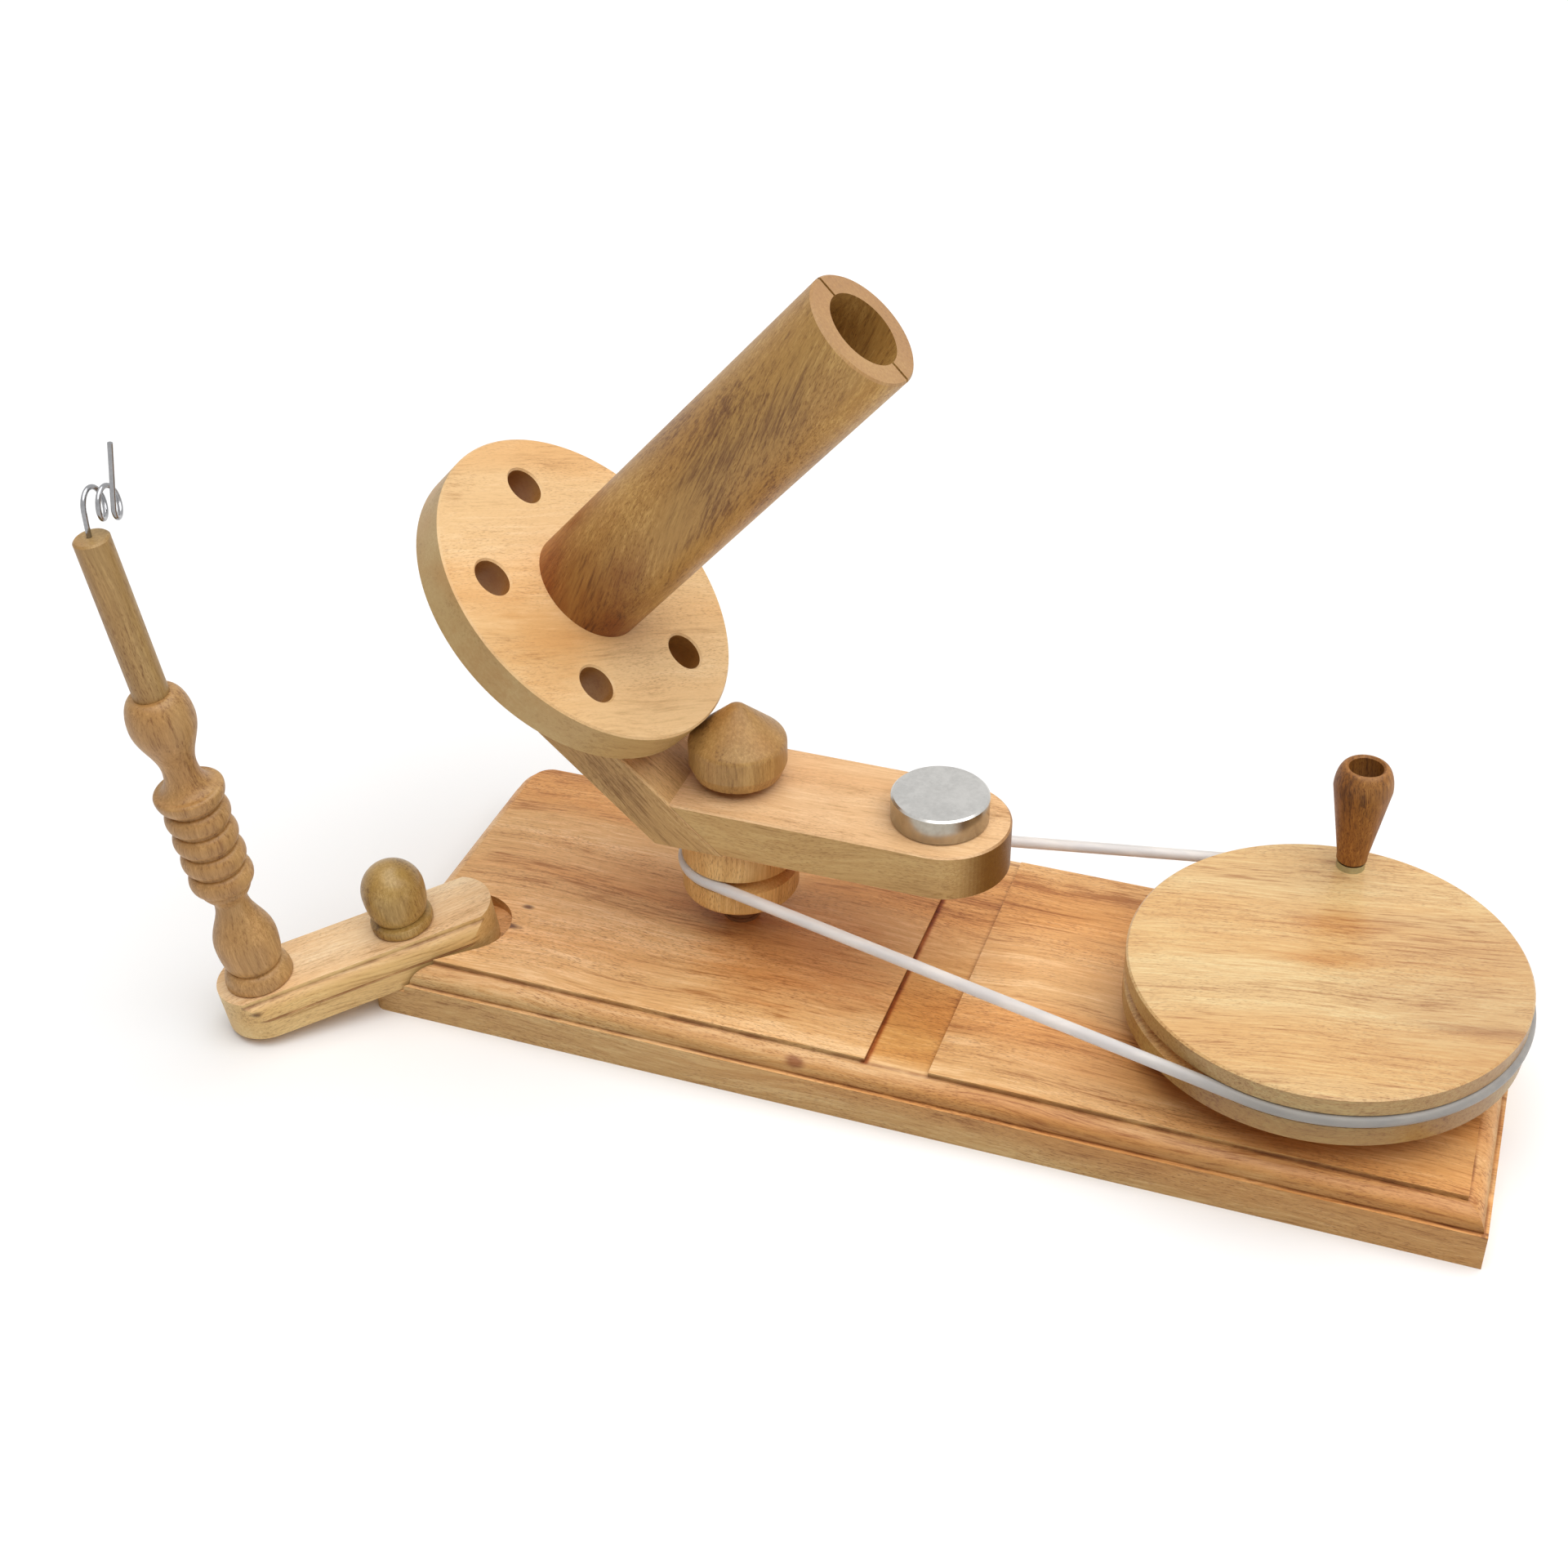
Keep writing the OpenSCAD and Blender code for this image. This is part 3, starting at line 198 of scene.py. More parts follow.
# %% Wood group
WOOD_INPUTS = {
    "Place": "NodeSocketVector",
    "Pale": "NodeSocketColor", "Mid": "NodeSocketColor", "Deep": "NodeSocketColor",
    "Streaks": "NodeSocketFloat", "Lines": "NodeSocketFloat", "Flecks": "NodeSocketFloat",
    "Patches": "NodeSocketFloat", "Glow": "NodeSocketFloat", "Gloss": "NodeSocketFloat",
}
WOOD_OUTPUTS = {"Colour": "NodeSocketColor", "Roughness": "NodeSocketFloat",
                "Normal": "NodeSocketVector"}

# Each layer of noise: its features per metre along, across and through the grain, then its detail
# and roughness
GRAIN_LAYERS = {
    "bands": ((4.5, 75, 75), 4.0, 0.55), "lines": ((45, 850, 850), 4.0, 0.68),
    "patches": ((13, 26, 26), 2.0, 0.5), "glow": ((3, 30, 30), 2.0, 0.5),
    "pores": ((480, 3000, 3000), 1.0, 0.4), "dashes": ((250, 2000, 2000), 1.0, 0.4),
    "crowd": ((16, 60, 60), 2.0, 0.5),
}
WANDER_SCALE, WANDER = 11.0, (0, 0.014, 0.014)
GLOW_TINT, PORE_TINT = (244, 206, 148), (150, 102, 62)
WOOD_BUMP, WOOD_BUMP_DEPTH = 0.22, 0.00025


def make_wood_group():
    tree = bpy.data.node_groups.new("mango_wood", "ShaderNodeTree")
    for name, kind in WOOD_INPUTS.items():
        tree.interface.new_socket(name, in_out="INPUT", socket_type=kind)
    for name, kind in WOOD_OUTPUTS.items():
        tree.interface.new_socket(name, in_out="OUTPUT", socket_type=kind)
    given = tree.nodes.new("NodeGroupInput").outputs
    place = given["Place"]

    # The grain wanders a little, so the place is bent by slow noise before anything reads it
    bend = put(tree, "ShaderNodeTexNoise", {"Vector": place, "Scale": WANDER_SCALE, "Detail": 1.0})
    bend = vector(tree, "SUBTRACT", bend.outputs["Color"], (0.5, 0.5, 0.5))
    place = vector(tree, "ADD", place, vector(tree, "MULTIPLY", bend, WANDER))
    layer = {name: noise(tree, place, *recipe) for name, recipe in GRAIN_LAYERS.items()}
    lines = layer["lines"]

    def swing(name, strength):
        """A layer as a number round 0, as strong as the piece asks."""
        return calc(tree, "MULTIPLY", calc(tree, "SUBTRACT", layer[name], 0.5), given[strength])

    depth = calc(tree, "ADD", swing("bands", "Streaks"), swing("patches", "Patches"))
    depth = calc(tree, "ADD", depth, swing("lines", "Lines"))
    depth = calc(tree, "ADD", depth, 0.45)
    colour = tint(tree, fade(tree, depth, 0.0, 0.5), given["Pale"], given["Mid"])
    colour = tint(tree, fade(tree, depth, 0.5, 1.05), colour, given["Deep"])

    warm = calc(tree, "MULTIPLY", fade(tree, layer["glow"], 0.4, 0.66), given["Glow"])
    colour = tint(tree, warm, colour, paint(*GLOW_TINT), "MULTIPLY")

    # Pores crowd in some bands and thin out in others
    open_pores = fade(tree, layer["pores"], 0.52, 0.74)
    long_pores = fade(tree, layer["dashes"], 0.58, 0.78)
    crowded = calc(tree, "MULTIPLY", fade(tree, layer["crowd"], 0.34, 0.62), 0.75)
    crowded = calc(tree, "ADD", crowded, 0.25)
    holes = calc(tree, "MULTIPLY", calc(tree, "MAXIMUM", open_pores, long_pores), crowded)
    dark = calc(tree, "MULTIPLY", holes, given["Flecks"])
    colour = tint(tree, dark, colour, paint(*PORE_TINT), "MULTIPLY")

    rough = calc(tree, "MULTIPLY", lines, 0.16)
    rough = calc(tree, "ADD", rough, calc(tree, "MULTIPLY", holes, 0.15))
    rough = calc(tree, "ADD", rough, given["Gloss"], clamp=True)
    height = calc(tree, "SUBTRACT", calc(tree, "MULTIPLY", lines, 0.5), holes)
    normal = put(tree, "ShaderNodeBump", {"Strength": WOOD_BUMP, "Distance": WOOD_BUMP_DEPTH,
                                          "Height": height})
    put(tree, "NodeGroupOutput", {"Colour": colour, "Roughness": rough,
                                  "Normal": normal.outputs[0]})
    return tree


wood_group = make_wood_group()
print("wood group:", len(wood_group.nodes), "nodes")

# %% [markdown]
# ## One wood material for each piece
# The real winder was cut from several boards, so its pieces differ: a warm base, a golden wheel, a
# mottled brown tube, a dark grip. A Mapping node turns the pattern so that its X runs along the
# piece's grain. Marks are added on top: a knot, a dark line, or a patch of painted shade, painted
# light or painted reflection, each a soft blob with its own size along and across the grain. Where
# a piece has a main face, its other faces take a darker tone: edge grain, and partly painted shade.

# %% Wood materials
MARK_RAGGED, MARK_CORE = (40, 200, 200), 0.2
WOOD_SPECULAR, COAT_ROUGHNESS = 0.4, 0.2


def new_material(name):
    """A fresh material, its node tree and its shader."""
    made = bpy.data.materials.new(name)
    made.use_nodes = True
    return made, made.node_tree, made.node_tree.nodes["Principled BSDF"]


def grain_turn(along, across):
    """The rotation that lays the pattern's X along the grain and its Y across it."""
    x = Vector(along).normalized()
    z = x.cross(Vector(across)).normalized()
    return Matrix((x, z.cross(x), z))


def add_mark(tree, place, turn, shift, colour, mark):
    """Tints a soft blob: its centre in mm, its size in mm along, across and through the grain."""
    centre = turn @ (Vector(mark["at"]) * MM) + shift
    offset = vector(tree, "SUBTRACT", place, centre)
    offset = vector(tree, "MULTIPLY", offset, [1 / (s * MM) for s in mark["size"]])
    far = vector(tree, "LENGTH", offset, out="Value")
    ragged = noise(tree, place, mark.get("ragged", MARK_RAGGED), 3.0, 0.6)
    ragged = calc(tree, "MULTIPLY", calc(tree, "SUBTRACT", ragged, 0.5), 0.9)
    inside = fade(tree, calc(tree, "ADD", far, ragged), 1.0, MARK_CORE)
    inside = calc(tree, "MULTIPLY", inside, mark["strength"])
    return tint(tree, inside, colour, mark["tint"], "MULTIPLY")


def facing(tree, way):
    """How squarely a face looks along a direction of the piece itself, in every pose."""
    looks = put(tree, "ShaderNodeNewGeometry").outputs["True Normal"]
    looks = put(tree, "ShaderNodeVectorTransform", {0: looks}, vector_type="NORMAL",
                convert_from="WORLD", convert_to="OBJECT").outputs[0]
    return calc(tree, "ABSOLUTE", vector(tree, "DOT_PRODUCT", looks, way, out="Value"))


def add_facing(tree, colour, way, shade, start, end):
    """Tints the faces by how squarely they look along a direction: cut ends that drink more finish,
    sides of edge grain with painted shade, and painted warm shade on the weight's sides.
    """
    amount = fade(tree, facing(tree, way), start, end)
    return tint(tree, amount, colour, paint(*shade), "MULTIPLY")


def wood_material(name, along, across, tones, streaks=1.6, fine=2.0, flecks=0.5, patches=0.6,
                  glow=0.4, gloss=0.34, coat=0.0, shift=(0, 0, 0), marks=(), lines=None, face=None,
                  edge=(225, 222, 205), ends=None):
    """Wood with its grain along one direction, three tones, marks, lines, and darker sides and
    ends: on the sides edge grain and partly painted shade, on the ends cut grain.
    """
    made, tree, shader = new_material(name)
    turn, shift = grain_turn(along, across), Vector(shift)
    where = put(tree, "ShaderNodeTexCoord").outputs["Object"]
    place = put(tree, "ShaderNodeMapping", {"Vector": where, "Rotation": turn.to_euler(),
                                            "Location": shift}).outputs[0]
    pale, mid, deep = (paint(*tone) for tone in tones)
    side_on = fade(tree, facing(tree, along), 0.95, 0.5)
    wood = put(tree, "ShaderNodeGroup", {
        "Place": place, "Pale": pale, "Mid": mid, "Deep": deep, "Streaks": streaks, "Lines": fine,
        "Flecks": calc(tree, "MULTIPLY", side_on, flecks), "Patches": patches, "Glow": glow,
        "Gloss": gloss}, node_tree=wood_group).outputs
    colour = wood["Colour"]
    for mark in marks:
        colour = add_mark(tree, place, turn, shift, colour, mark)
    if lines:
        colour = lines(tree, where, colour)
    # faces that don't look along the main face take the edge tone: edge grain, and partly painted
    # shade
    if face:
        colour = add_facing(tree, colour, face, edge, 0.8, 0.3)
    if ends:
        colour = add_facing(tree, colour, along, ends, 0.35, 0.85)
    fill(tree, shader, {"Base Color": colour, "Roughness": wood["Roughness"],
                        "Normal": wood["Normal"], "Specular IOR Level": WOOD_SPECULAR,
                        "Coat Weight": coat, "Coat Roughness": COAT_ROUGHNESS})
    return made


print("wood materials ready: each feeds", len(WOOD_INPUTS), "inputs of the wood group")

# %% [markdown]
# ## The base's dark lines
# Dark lines of painted shade, with some finish gathered there too, lie in the inner corners of a
# moulding: along the foot of the raised panel, under the rounded edge, and down both sides of the
# cross channel. The channel's left side and the front rounded edge get painted shade as well, and
# the channel's floor is darker towards the front. These lines follow the board's own straight
# edges, so each is a distance from a plane in Object coordinates, and no picture is needed.

# %% Lines on the base
PANEL_X, PANEL_Y = 220.7 * MM, 72.7 * MM
LEDGE_X, LEDGE_Y = 228.2 * MM, 80.2 * MM
CHANNEL_X = 13.2 * MM
PANEL_TOP, LEDGE_Z = 26 * MM, 16.4 * MM


def near(tree, value, at, width):
    """1 close to a plane, and 0 farther from it than the width."""
    gap = calc(tree, "ABSOLUTE", calc(tree, "SUBTRACT", value, at))
    return fade(tree, gap, width, width * 0.25)


def within(tree, value, end, soft=1.2 * MM):
    """1 up to an end, with a soft edge past it."""
    return fade(tree, value, end + soft, end)


def both(tree, *parts):
    whole = parts[0]
    for part in parts[1:]:
        whole = calc(tree, "MULTIPLY", whole, part)
    return whole


def either(tree, a, b):
    return calc(tree, "MAXIMUM", a, b)


def uneven(tree, where, strength):
    """Painted corner shade and gathered finish are not even, so a line fades and returns along its
    length.
    """
    patchy = fade(tree, noise(tree, where, (55, 55, 55), 3.0, 0.6), 0.3, 0.62)
    patchy = calc(tree, "ADD", calc(tree, "MULTIPLY", patchy, 0.75), 0.25)
    return calc(tree, "MULTIPLY", patchy, strength)


def base_lines(tree, where, colour):
    """Painted shade on the channel's left side and the front rounded edge, a darker channel floor,
    and dark lines of painted shade and gathered finish in the board's corners.
    """
    axes = put(tree, "ShaderNodeSeparateXYZ", {0: where}).outputs
    x, y, z = calc(tree, "ABSOLUTE", axes[0]), calc(tree, "ABSOLUTE", axes[1]), axes[2]
    low = fade(tree, z, PANEL_TOP - 0.2 * MM, PANEL_TOP - 1.2 * MM)
    floor = both(tree, within(tree, x, CHANNEL_X - 0.8 * MM, 0.8 * MM),
                 within(tree, y, PANEL_Y - 9 * MM, 9 * MM), low,
                 fade(tree, axes[1], 40 * MM, -40 * MM))
    colour = tint(tree, floor, colour, paint(242, 224, 186), "MULTIPLY")
    # painted shade on the channel's left side
    wall_shade = both(tree, near(tree, axes[0], -CHANNEL_X, 2.4 * MM), within(tree, y, PANEL_Y), low)
    colour = tint(tree, wall_shade, colour, paint(206, 156, 112), "MULTIPLY")
    # painted shade on the front rounded edge
    bead_shade = both(tree, fade(tree, axes[1], -PANEL_Y, -PANEL_Y - 2 * MM),
                fade(tree, z, LEDGE_Z - MM, LEDGE_Z + MM))
    colour = tint(tree, bead_shade, colour, paint(240, 234, 226), "MULTIPLY")
    ends = both(tree, near(tree, x, PANEL_X, 1.5 * MM), within(tree, y, PANEL_Y))
    sides = both(tree, near(tree, y, PANEL_Y, 1.5 * MM), within(tree, x, PANEL_X))
    walls = either(tree, near(tree, axes[0], -CHANNEL_X, 1.7 * MM),
                   near(tree, axes[0], CHANNEL_X, 0.8 * MM))
    channel = both(tree, walls, within(tree, y, PANEL_Y))
    step = both(tree, either(tree, either(tree, ends, sides), channel), low)
    rim = either(tree, near(tree, x, LEDGE_X, 1.2 * MM), near(tree, y, LEDGE_Y, 1.2 * MM))
    ledge = both(tree, near(tree, z, LEDGE_Z, 0.9 * MM), rim)
    # dark lines: painted shade in the board's inner corners and under the ledge, with some gathered
    # finish
    amount = both(tree, either(tree, step, ledge), uneven(tree, where, 0.65))
    return tint(tree, amount, colour, paint(140, 88, 50), "MULTIPLY")


print("base lines at %.1f and %.1f mm from the middle" % (PANEL_X / MM, PANEL_Y / MM))

# %% [markdown]
# ## Lines on the other pieces
# The guide arm has the same moulding as the board, with the same lines of painted shade and
# gathered finish, but it stands at an angle, so its lines are measured in its own tilted axes: a
# Mapping node undoes the piece's frame. In the same way the walls of the disc's holes get painted
# shade, the cut end of the tube gets its own paler, pinker tone and the wheel's lower flange a
# darker one, by their place or by the way they face.

# %% Lines on the guide, disc, tube and wheel
PANEL_HALF, GUIDE_HALF = 15 * MM, 18.5 * MM
GUIDE_STEP_Z, GUIDE_LEDGE_Z = 17.25 * MM, 9.25 * MM
DISC_FRONT, DISC_HOLES, DISC_MARK_SIDE = 20 * MM, 62 * MM, 46 * MM
FLANGE_HIGH, FLANGE_LOW = 51 * MM, 48 * MM


def own_axes(tree, where, frame_of_piece):
    """A place measured in a tilted piece's own axes."""
    back = frame_of_piece.inverted()
    return put(tree, "ShaderNodeMapping", {"Vector": where, "Rotation": back.to_euler(),
                                           "Location": back.translation}).outputs[0]


def guide_lines(tree, where, colour):
    """The board's dark lines of painted shade and gathered finish again, on the guide arm."""
    axes = put(tree, "ShaderNodeSeparateXYZ", {0: own_axes(tree, where, guide_frame)}).outputs
    y, z = calc(tree, "ABSOLUTE", axes[1]), axes[2]
    step = both(tree, near(tree, y, PANEL_HALF, 0.9 * MM), near(tree, z, GUIDE_STEP_Z, 1.3 * MM))
    ledge = both(tree, near(tree, y, GUIDE_HALF, 1.4 * MM), near(tree, z, GUIDE_LEDGE_Z, 0.8 * MM))
    amount = both(tree, either(tree, step, ledge), uneven(tree, where, 0.7))
    return tint(tree, amount, colour, paint(138, 92, 54), "MULTIPLY")


def disc_lines(tree, where, colour):
    """Painted shade on the walls of the disc's holes: side faces that stand well inside its edge.
    """
    flat = vector(tree, "MULTIPLY", own_axes(tree, where, spindle_frame), (1, 1, 0))
    far = vector(tree, "LENGTH", flat, out="Value")
    wall_shade = both(tree, fade(tree, facing(tree, spindle_axis), 0.7, 0.3),
                within(tree, far, DISC_HOLES))
    return tint(tree, wall_shade, colour, paint(214, 180, 140), "MULTIPLY")


def tube_lines(tree, where, colour):
    """The tube's cut end is paler and pinker than its side."""
    end = calc(tree, "MULTIPLY", fade(tree, facing(tree, spindle_axis), 0.35, 0.85), 0.6)
    return tint(tree, end, colour, paint(172, 130, 92))


def wheel_lines(tree, where, colour):
    """The wheel's lower flange is darker than its top."""
    z = put(tree, "ShaderNodeSeparateXYZ", {0: where}).outputs[2]
    lower = fade(tree, z, FLANGE_HIGH, FLANGE_LOW)
    return tint(tree, lower, colour, paint(234, 224, 194), "MULTIPLY")


print("lines ready on the guide, disc, tube and wheel")

# %% [markdown]
# ## The woods themselves
# Each wood names its grain, three tones from pale to deep, and the strength of each layer. The
# shift moves the pattern, so that no two pieces show the same stretch of it. Marks give their
# centre and size in millimetres.

# %% Wood for every wooden piece
X, Y, Z = Vector((1, 0, 0)), Vector((0, 1, 0)), Vector((0, 0, 1))
riser_along = riser_frame.to_3x3() @ X
spindle_axis = spindle_frame.to_3x3() @ Z
guide_along, post_axis = guide_frame.to_3x3() @ X, guide_frame.to_3x3() @ Z
UMBER, KNOT, RUSSET = paint(176, 130, 92), paint(96, 58, 34), paint(150, 92, 62)
# The warm tone paints shade on the board, the honey and greyed tones paint reflections on the
# wheel, and the lighter factor paints light on the board.
WARM_SHADE, GRIP_REFLECTION, REFLECTION_BAND = paint(236, 196, 150), paint(226, 186, 136), paint(236, 228, 224)
PAINTED_LIGHT = (1.16, 1.15, 1.22, 1)

board_wood = wood_material(
    "base_wood", X, Y, ((240, 200, 148), (222, 174, 116), (172, 116, 62)), streaks=1.7, flecks=0.6,
    patches=0.7, glow=0.6, face=Z, edge=(219, 220, 204), lines=base_lines, marks=[
        {"at": (-184, -41, 26), "size": (9, 3.0, 8), "strength": 0.9, "tint": KNOT},
        {"at": (-181, -27, 26), "size": (4, 2.2, 6), "strength": 0.85, "tint": KNOT},
        {"at": (-41, -78, 20.5), "size": (6, 3.5, 4), "strength": 0.75, "tint": RUSSET},
        # painted shade under the pulley and the bar
        {"at": (-62, -22, 26), "size": (64, 46, 30), "strength": 0.6, "tint": WARM_SHADE},
        # painted light, lifting the spindle's shadow on the board's back left
        {"at": (-160, -10, 26), "size": (70, 90, 30), "strength": 0.9, "tint": PAINTED_LIGHT},
    ])
wheel_wood = wood_material(
    "wheel_wood", X + Y * 0.2, Y, ((229, 201, 147), (219, 182, 127), (180, 134, 84)), streaks=1.3,
    fine=2.6, flecks=0.45, patches=0.5, coat=0.3, shift=(0.31, 0.17, 0.05), face=Z,
    edge=(205, 200, 178), lines=wheel_lines, marks=[
        # painted reflection of the grip: two darker blobs on the wheel's top
        {"at": (152, 25, 63), "size": (26, 12, 20), "strength": 0.55, "tint": GRIP_REFLECTION},
        {"at": (154, 1, 63), "size": (32, 9, 20), "strength": 0.5, "tint": GRIP_REFLECTION},
        {"at": (218, -22, 63), "size": (46, 5, 20), "strength": 0.4, "tint": UMBER},
        # a wide painted reflection band, darker, on the right of the wheel's top
        {"at": (214, -8, 63), "size": (74, 84, 40), "strength": 0.8, "tint": REFLECTION_BAND},
    ])
arm_wood = wood_material(
    "arm_wood", X, Y, ((240, 200, 152), (228, 184, 134), (188, 142, 92)), streaks=1.5, flecks=0.4,
    patches=1.1, shift=(0.5, 0.4, 0.2), face=Z, edge=(216, 215, 184), ends=(158, 130, 80))
riser_wood = wood_material(
    "riser_wood", riser_along, Y, ((232, 194, 140), (216, 174, 118), (160, 118, 70)), flecks=0.45,
    patches=0.7, shift=(0.1, 0.6, 0.3), face=spindle_axis)
disc_wood = wood_material(
    "disc_wood", Y * 1.25 - riser_along * 0.824, spindle_axis,
    ((240, 206, 158), (228, 189, 136), (186, 143, 92)), streaks=1.0, fine=1.2, flecks=0.35,
    patches=0.7, shift=(0.7, 0.1, 0.9), face=spindle_axis, edge=(206, 206, 188), lines=disc_lines,
    marks=[
        {"at": spindle_frame @ Vector((0, DISC_MARK_SIDE, DISC_FRONT)) / MM, "size": (44, 40, 34),
         "strength": 0.7, "tint": paint(234, 210, 178)},
    ])
tube_foot = spindle_frame @ Vector((0, 0, DISC_FRONT))
tube_wood = wood_material(
    "tube_wood", spindle_axis + riser_along * 0.4, Y,
    ((202, 162, 94), (175, 133, 70), (122, 82, 40)), streaks=0.8, fine=1.9, flecks=0.55,
    patches=1.7, glow=0.25, shift=(0.2, 0.8, 0.4), lines=tube_lines, marks=[
        {"at": tube_foot / MM, "size": (78, 66, 66), "strength": 0.95, "tint": paint(180, 124, 78),
         "ragged": (24, 60, 60)},
    ])
pulley_wood = wood_material(
    "pulley_wood", Z, Y, ((230, 190, 126), (214, 168, 102), (160, 112, 58)), streaks=1.8,
    flecks=0.6, patches=0.7, shift=(0.9, 0.3, 0.6))
cone_wood = wood_material(
    "cone_wood", Z, X, ((188, 148, 88), (168, 128, 72), (120, 82, 40)), streaks=1.7, flecks=0.35,
    patches=0.9, shift=(0.3, 0.9, 0.2))
guide_wood = wood_material(
    "guide_wood", guide_along, post_axis, ((248, 222, 182), (236, 203, 158), (192, 152, 104)),
    streaks=1.5, flecks=0.45, patches=0.5, shift=(0.4, 0.9, 0.1), face=post_axis,
    edge=(236, 238, 214), lines=guide_lines, marks=[
        {"at": (-261, -122.5, 18.6), "size": (4, 2.0, 4), "strength": 0.85, "tint": KNOT},
    ])
post_wood = wood_material(
    "post_wood", post_axis, X, ((198, 161, 108), (178, 141, 90), (134, 96, 55)), streaks=1.5,
    flecks=0.6, patches=0.7, shift=(0.6, 0.2, 0.8))
rod_wood = wood_material(
    "rod_wood", post_axis, X, ((184, 152, 98), (166, 134, 83), (132, 100, 57)), streaks=0.8,
    flecks=0.6, patches=0.4, shift=(0.1, 0.4, 0.6))
knob_wood = wood_material(
    "knob_wood", post_axis, X, ((190, 163, 103), (170, 142, 82), (122, 94, 47)), streaks=1.7,
    flecks=0.6, patches=0.9, gloss=0.22, shift=(0.15, 0.55, 0.35))
grip_wood = wood_material(
    "grip_wood", Z, X, ((180, 130, 66), (150, 102, 45), (92, 56, 24)), streaks=1.1, flecks=0.8,
    patches=1.2, gloss=0.42, shift=(0.25, 0.65, 0.75))
dowel_wood = wood_material(
    "dowel_wood", Z, X, ((228, 190, 140), (208, 166, 114), (160, 118, 74)), streaks=1.4,
    patches=0.5)
print("woods:", [m.name for m in bpy.data.materials if m.name.endswith("_wood")])

# %% [markdown]
# ## Metals and the belt
# The weight is bright zinc with a softly brushed top, the bolts are steel, the nut under the pulley
# is browned, the bushes are bronze and the ferrule is a dull grey metal. Metal needs little colour
# but it needs an uneven surface, so noise moves its roughness and adds a faint bump. The belt is
# cloudy plastic cord: pale, a little see-through, with soft blotches along its length.

# %% Metal and belt materials
DULLED, BUMP_DEPTH = 0.82, 0.0002
BELT_BUMP, BELT_CLEAR, BELT_IOR = 0.08, 0.25, 1.45
BELT_SHADE_FROM, BELT_SHADE_TO = 80 * MM, 150 * MM


def metal_material(name, tone, rough, wear, grain=(900, 900, 900), bump=0.06, bright=1.0,
                   side=None):
    """Metal of one tone, dulled in clouds, with uneven roughness and painted shade on its side."""
    made, tree, shader = new_material(name)
    where = put(tree, "ShaderNodeTexCoord").outputs["Object"]
    speckle = noise(tree, where, grain, 3.0, 0.6)
    cloud = noise(tree, where, (60, 60, 60), 2.0, 0.5)
    dull = tuple(c * DULLED for c in paint(*tone)[:3]) + (1.0,)
    clouded = calc(tree, "ADD", calc(tree, "MULTIPLY", speckle, 0.5),
                   calc(tree, "MULTIPLY", cloud, 0.5))
    colour = tint(tree, fade(tree, clouded, 0.35, 0.65), paint(*tone), dull)
    # the side tint is painted shade: faces that don't look up get a darker, warmer tone
    if side:
        colour = add_facing(tree, colour, Z, side, 0.8, 0.3)
    rough = calc(tree, "ADD", calc(tree, "MULTIPLY", speckle, wear), rough, clamp=True)
    normal = put(tree, "ShaderNodeBump", {"Strength": bump, "Distance": BUMP_DEPTH,
                                          "Height": speckle})
    fill(tree, shader, {"Base Color": colour, "Roughness": rough, "Normal": normal.outputs[0],
                        "Metallic": bright})
    return made


def belt_material():
    made, tree, shader = new_material("belt_plastic")
    where = put(tree, "ShaderNodeTexCoord").outputs["Object"]
    cloud = noise(tree, where, (45, 160, 160), 3.0, 0.55)
    fine = noise(tree, where, (700, 700, 700), 2.0, 0.5)
    colour = tint(tree, fade(tree, cloud, 0.3, 0.7), paint(246, 240, 234), paint(226, 222, 220))
    along = put(tree, "ShaderNodeSeparateXYZ", {0: where}).outputs[0]
    shade = fade(tree, along, BELT_SHADE_FROM, BELT_SHADE_TO)
    colour = tint(tree, shade, colour, paint(180, 179, 176), "MULTIPLY")
    rough = calc(tree, "ADD", calc(tree, "MULTIPLY", fine, 0.2), 0.28)
    normal = put(tree, "ShaderNodeBump", {"Strength": BELT_BUMP, "Distance": BUMP_DEPTH,
                                          "Height": fine})
    fill(tree, shader, {"Base Color": colour, "Roughness": rough, "Normal": normal.outputs[0],
                        "Transmission Weight": BELT_CLEAR, "IOR": BELT_IOR})
    return made


steel = metal_material("steel", (196, 196, 194), 0.26, 0.18)
dark_steel = metal_material("dark_steel", (150, 102, 62), 0.55, 0.2, bright=0.15)
bronze = metal_material("bronze", (176, 132, 74), 0.34, 0.2)
# the weight's sides get painted warm shade
weight_steel = metal_material("weight_steel", (202, 200, 196), 0.17, 0.14, grain=(420, 420, 420),
                              bump=0.03, side=(222, 216, 204))
ferrule_metal = metal_material("ferrule_metal", (190, 194, 170), 0.24, 0.16)
wire_steel = metal_material("wire_steel", (158, 158, 160), 0.12, 0.1)
belt_plastic = belt_material()
print("metals and belt ready")

# %% [markdown]
# ## Turned pieces
# The post, the knob and the grip came off a lathe: one outline, turned round an axis. That is a
# rule, so Geometry Nodes do it. The tree takes the outline as a curve, lays a flat grid with one
# column for each outline point, and moves every grid point to its place on the circle.

# %% Lathe tree
MERGE_WITHIN = 0.002 * MM


def new_geometry_tree(name, sizes):
    """A geometry tree with a geometry in and out, and one named input for each size."""
    tree = bpy.data.node_groups.new(name, "GeometryNodeTree")
    tree.interface.new_socket("Geometry", in_out="INPUT", socket_type="NodeSocketGeometry")
    for size, kind in sizes.items():
        tree.interface.new_socket(size, in_out="INPUT", socket_type=kind)
    tree.interface.new_socket("Geometry", in_out="OUTPUT", socket_type="NodeSocketGeometry")
    return tree, tree.nodes.new("NodeGroupInput").outputs


def end_tree(tree, mesh, material):
    """The last nodes of every tree: real meshes, and their material."""
    real = put(tree, "GeometryNodeRealizeInstances", {0: mesh}).outputs[0]
    dressed = put(tree, "GeometryNodeSetMaterial", {"Geometry": real, "Material": material})
    put(tree, "NodeGroupOutput", {"Geometry": dressed.outputs[0]})


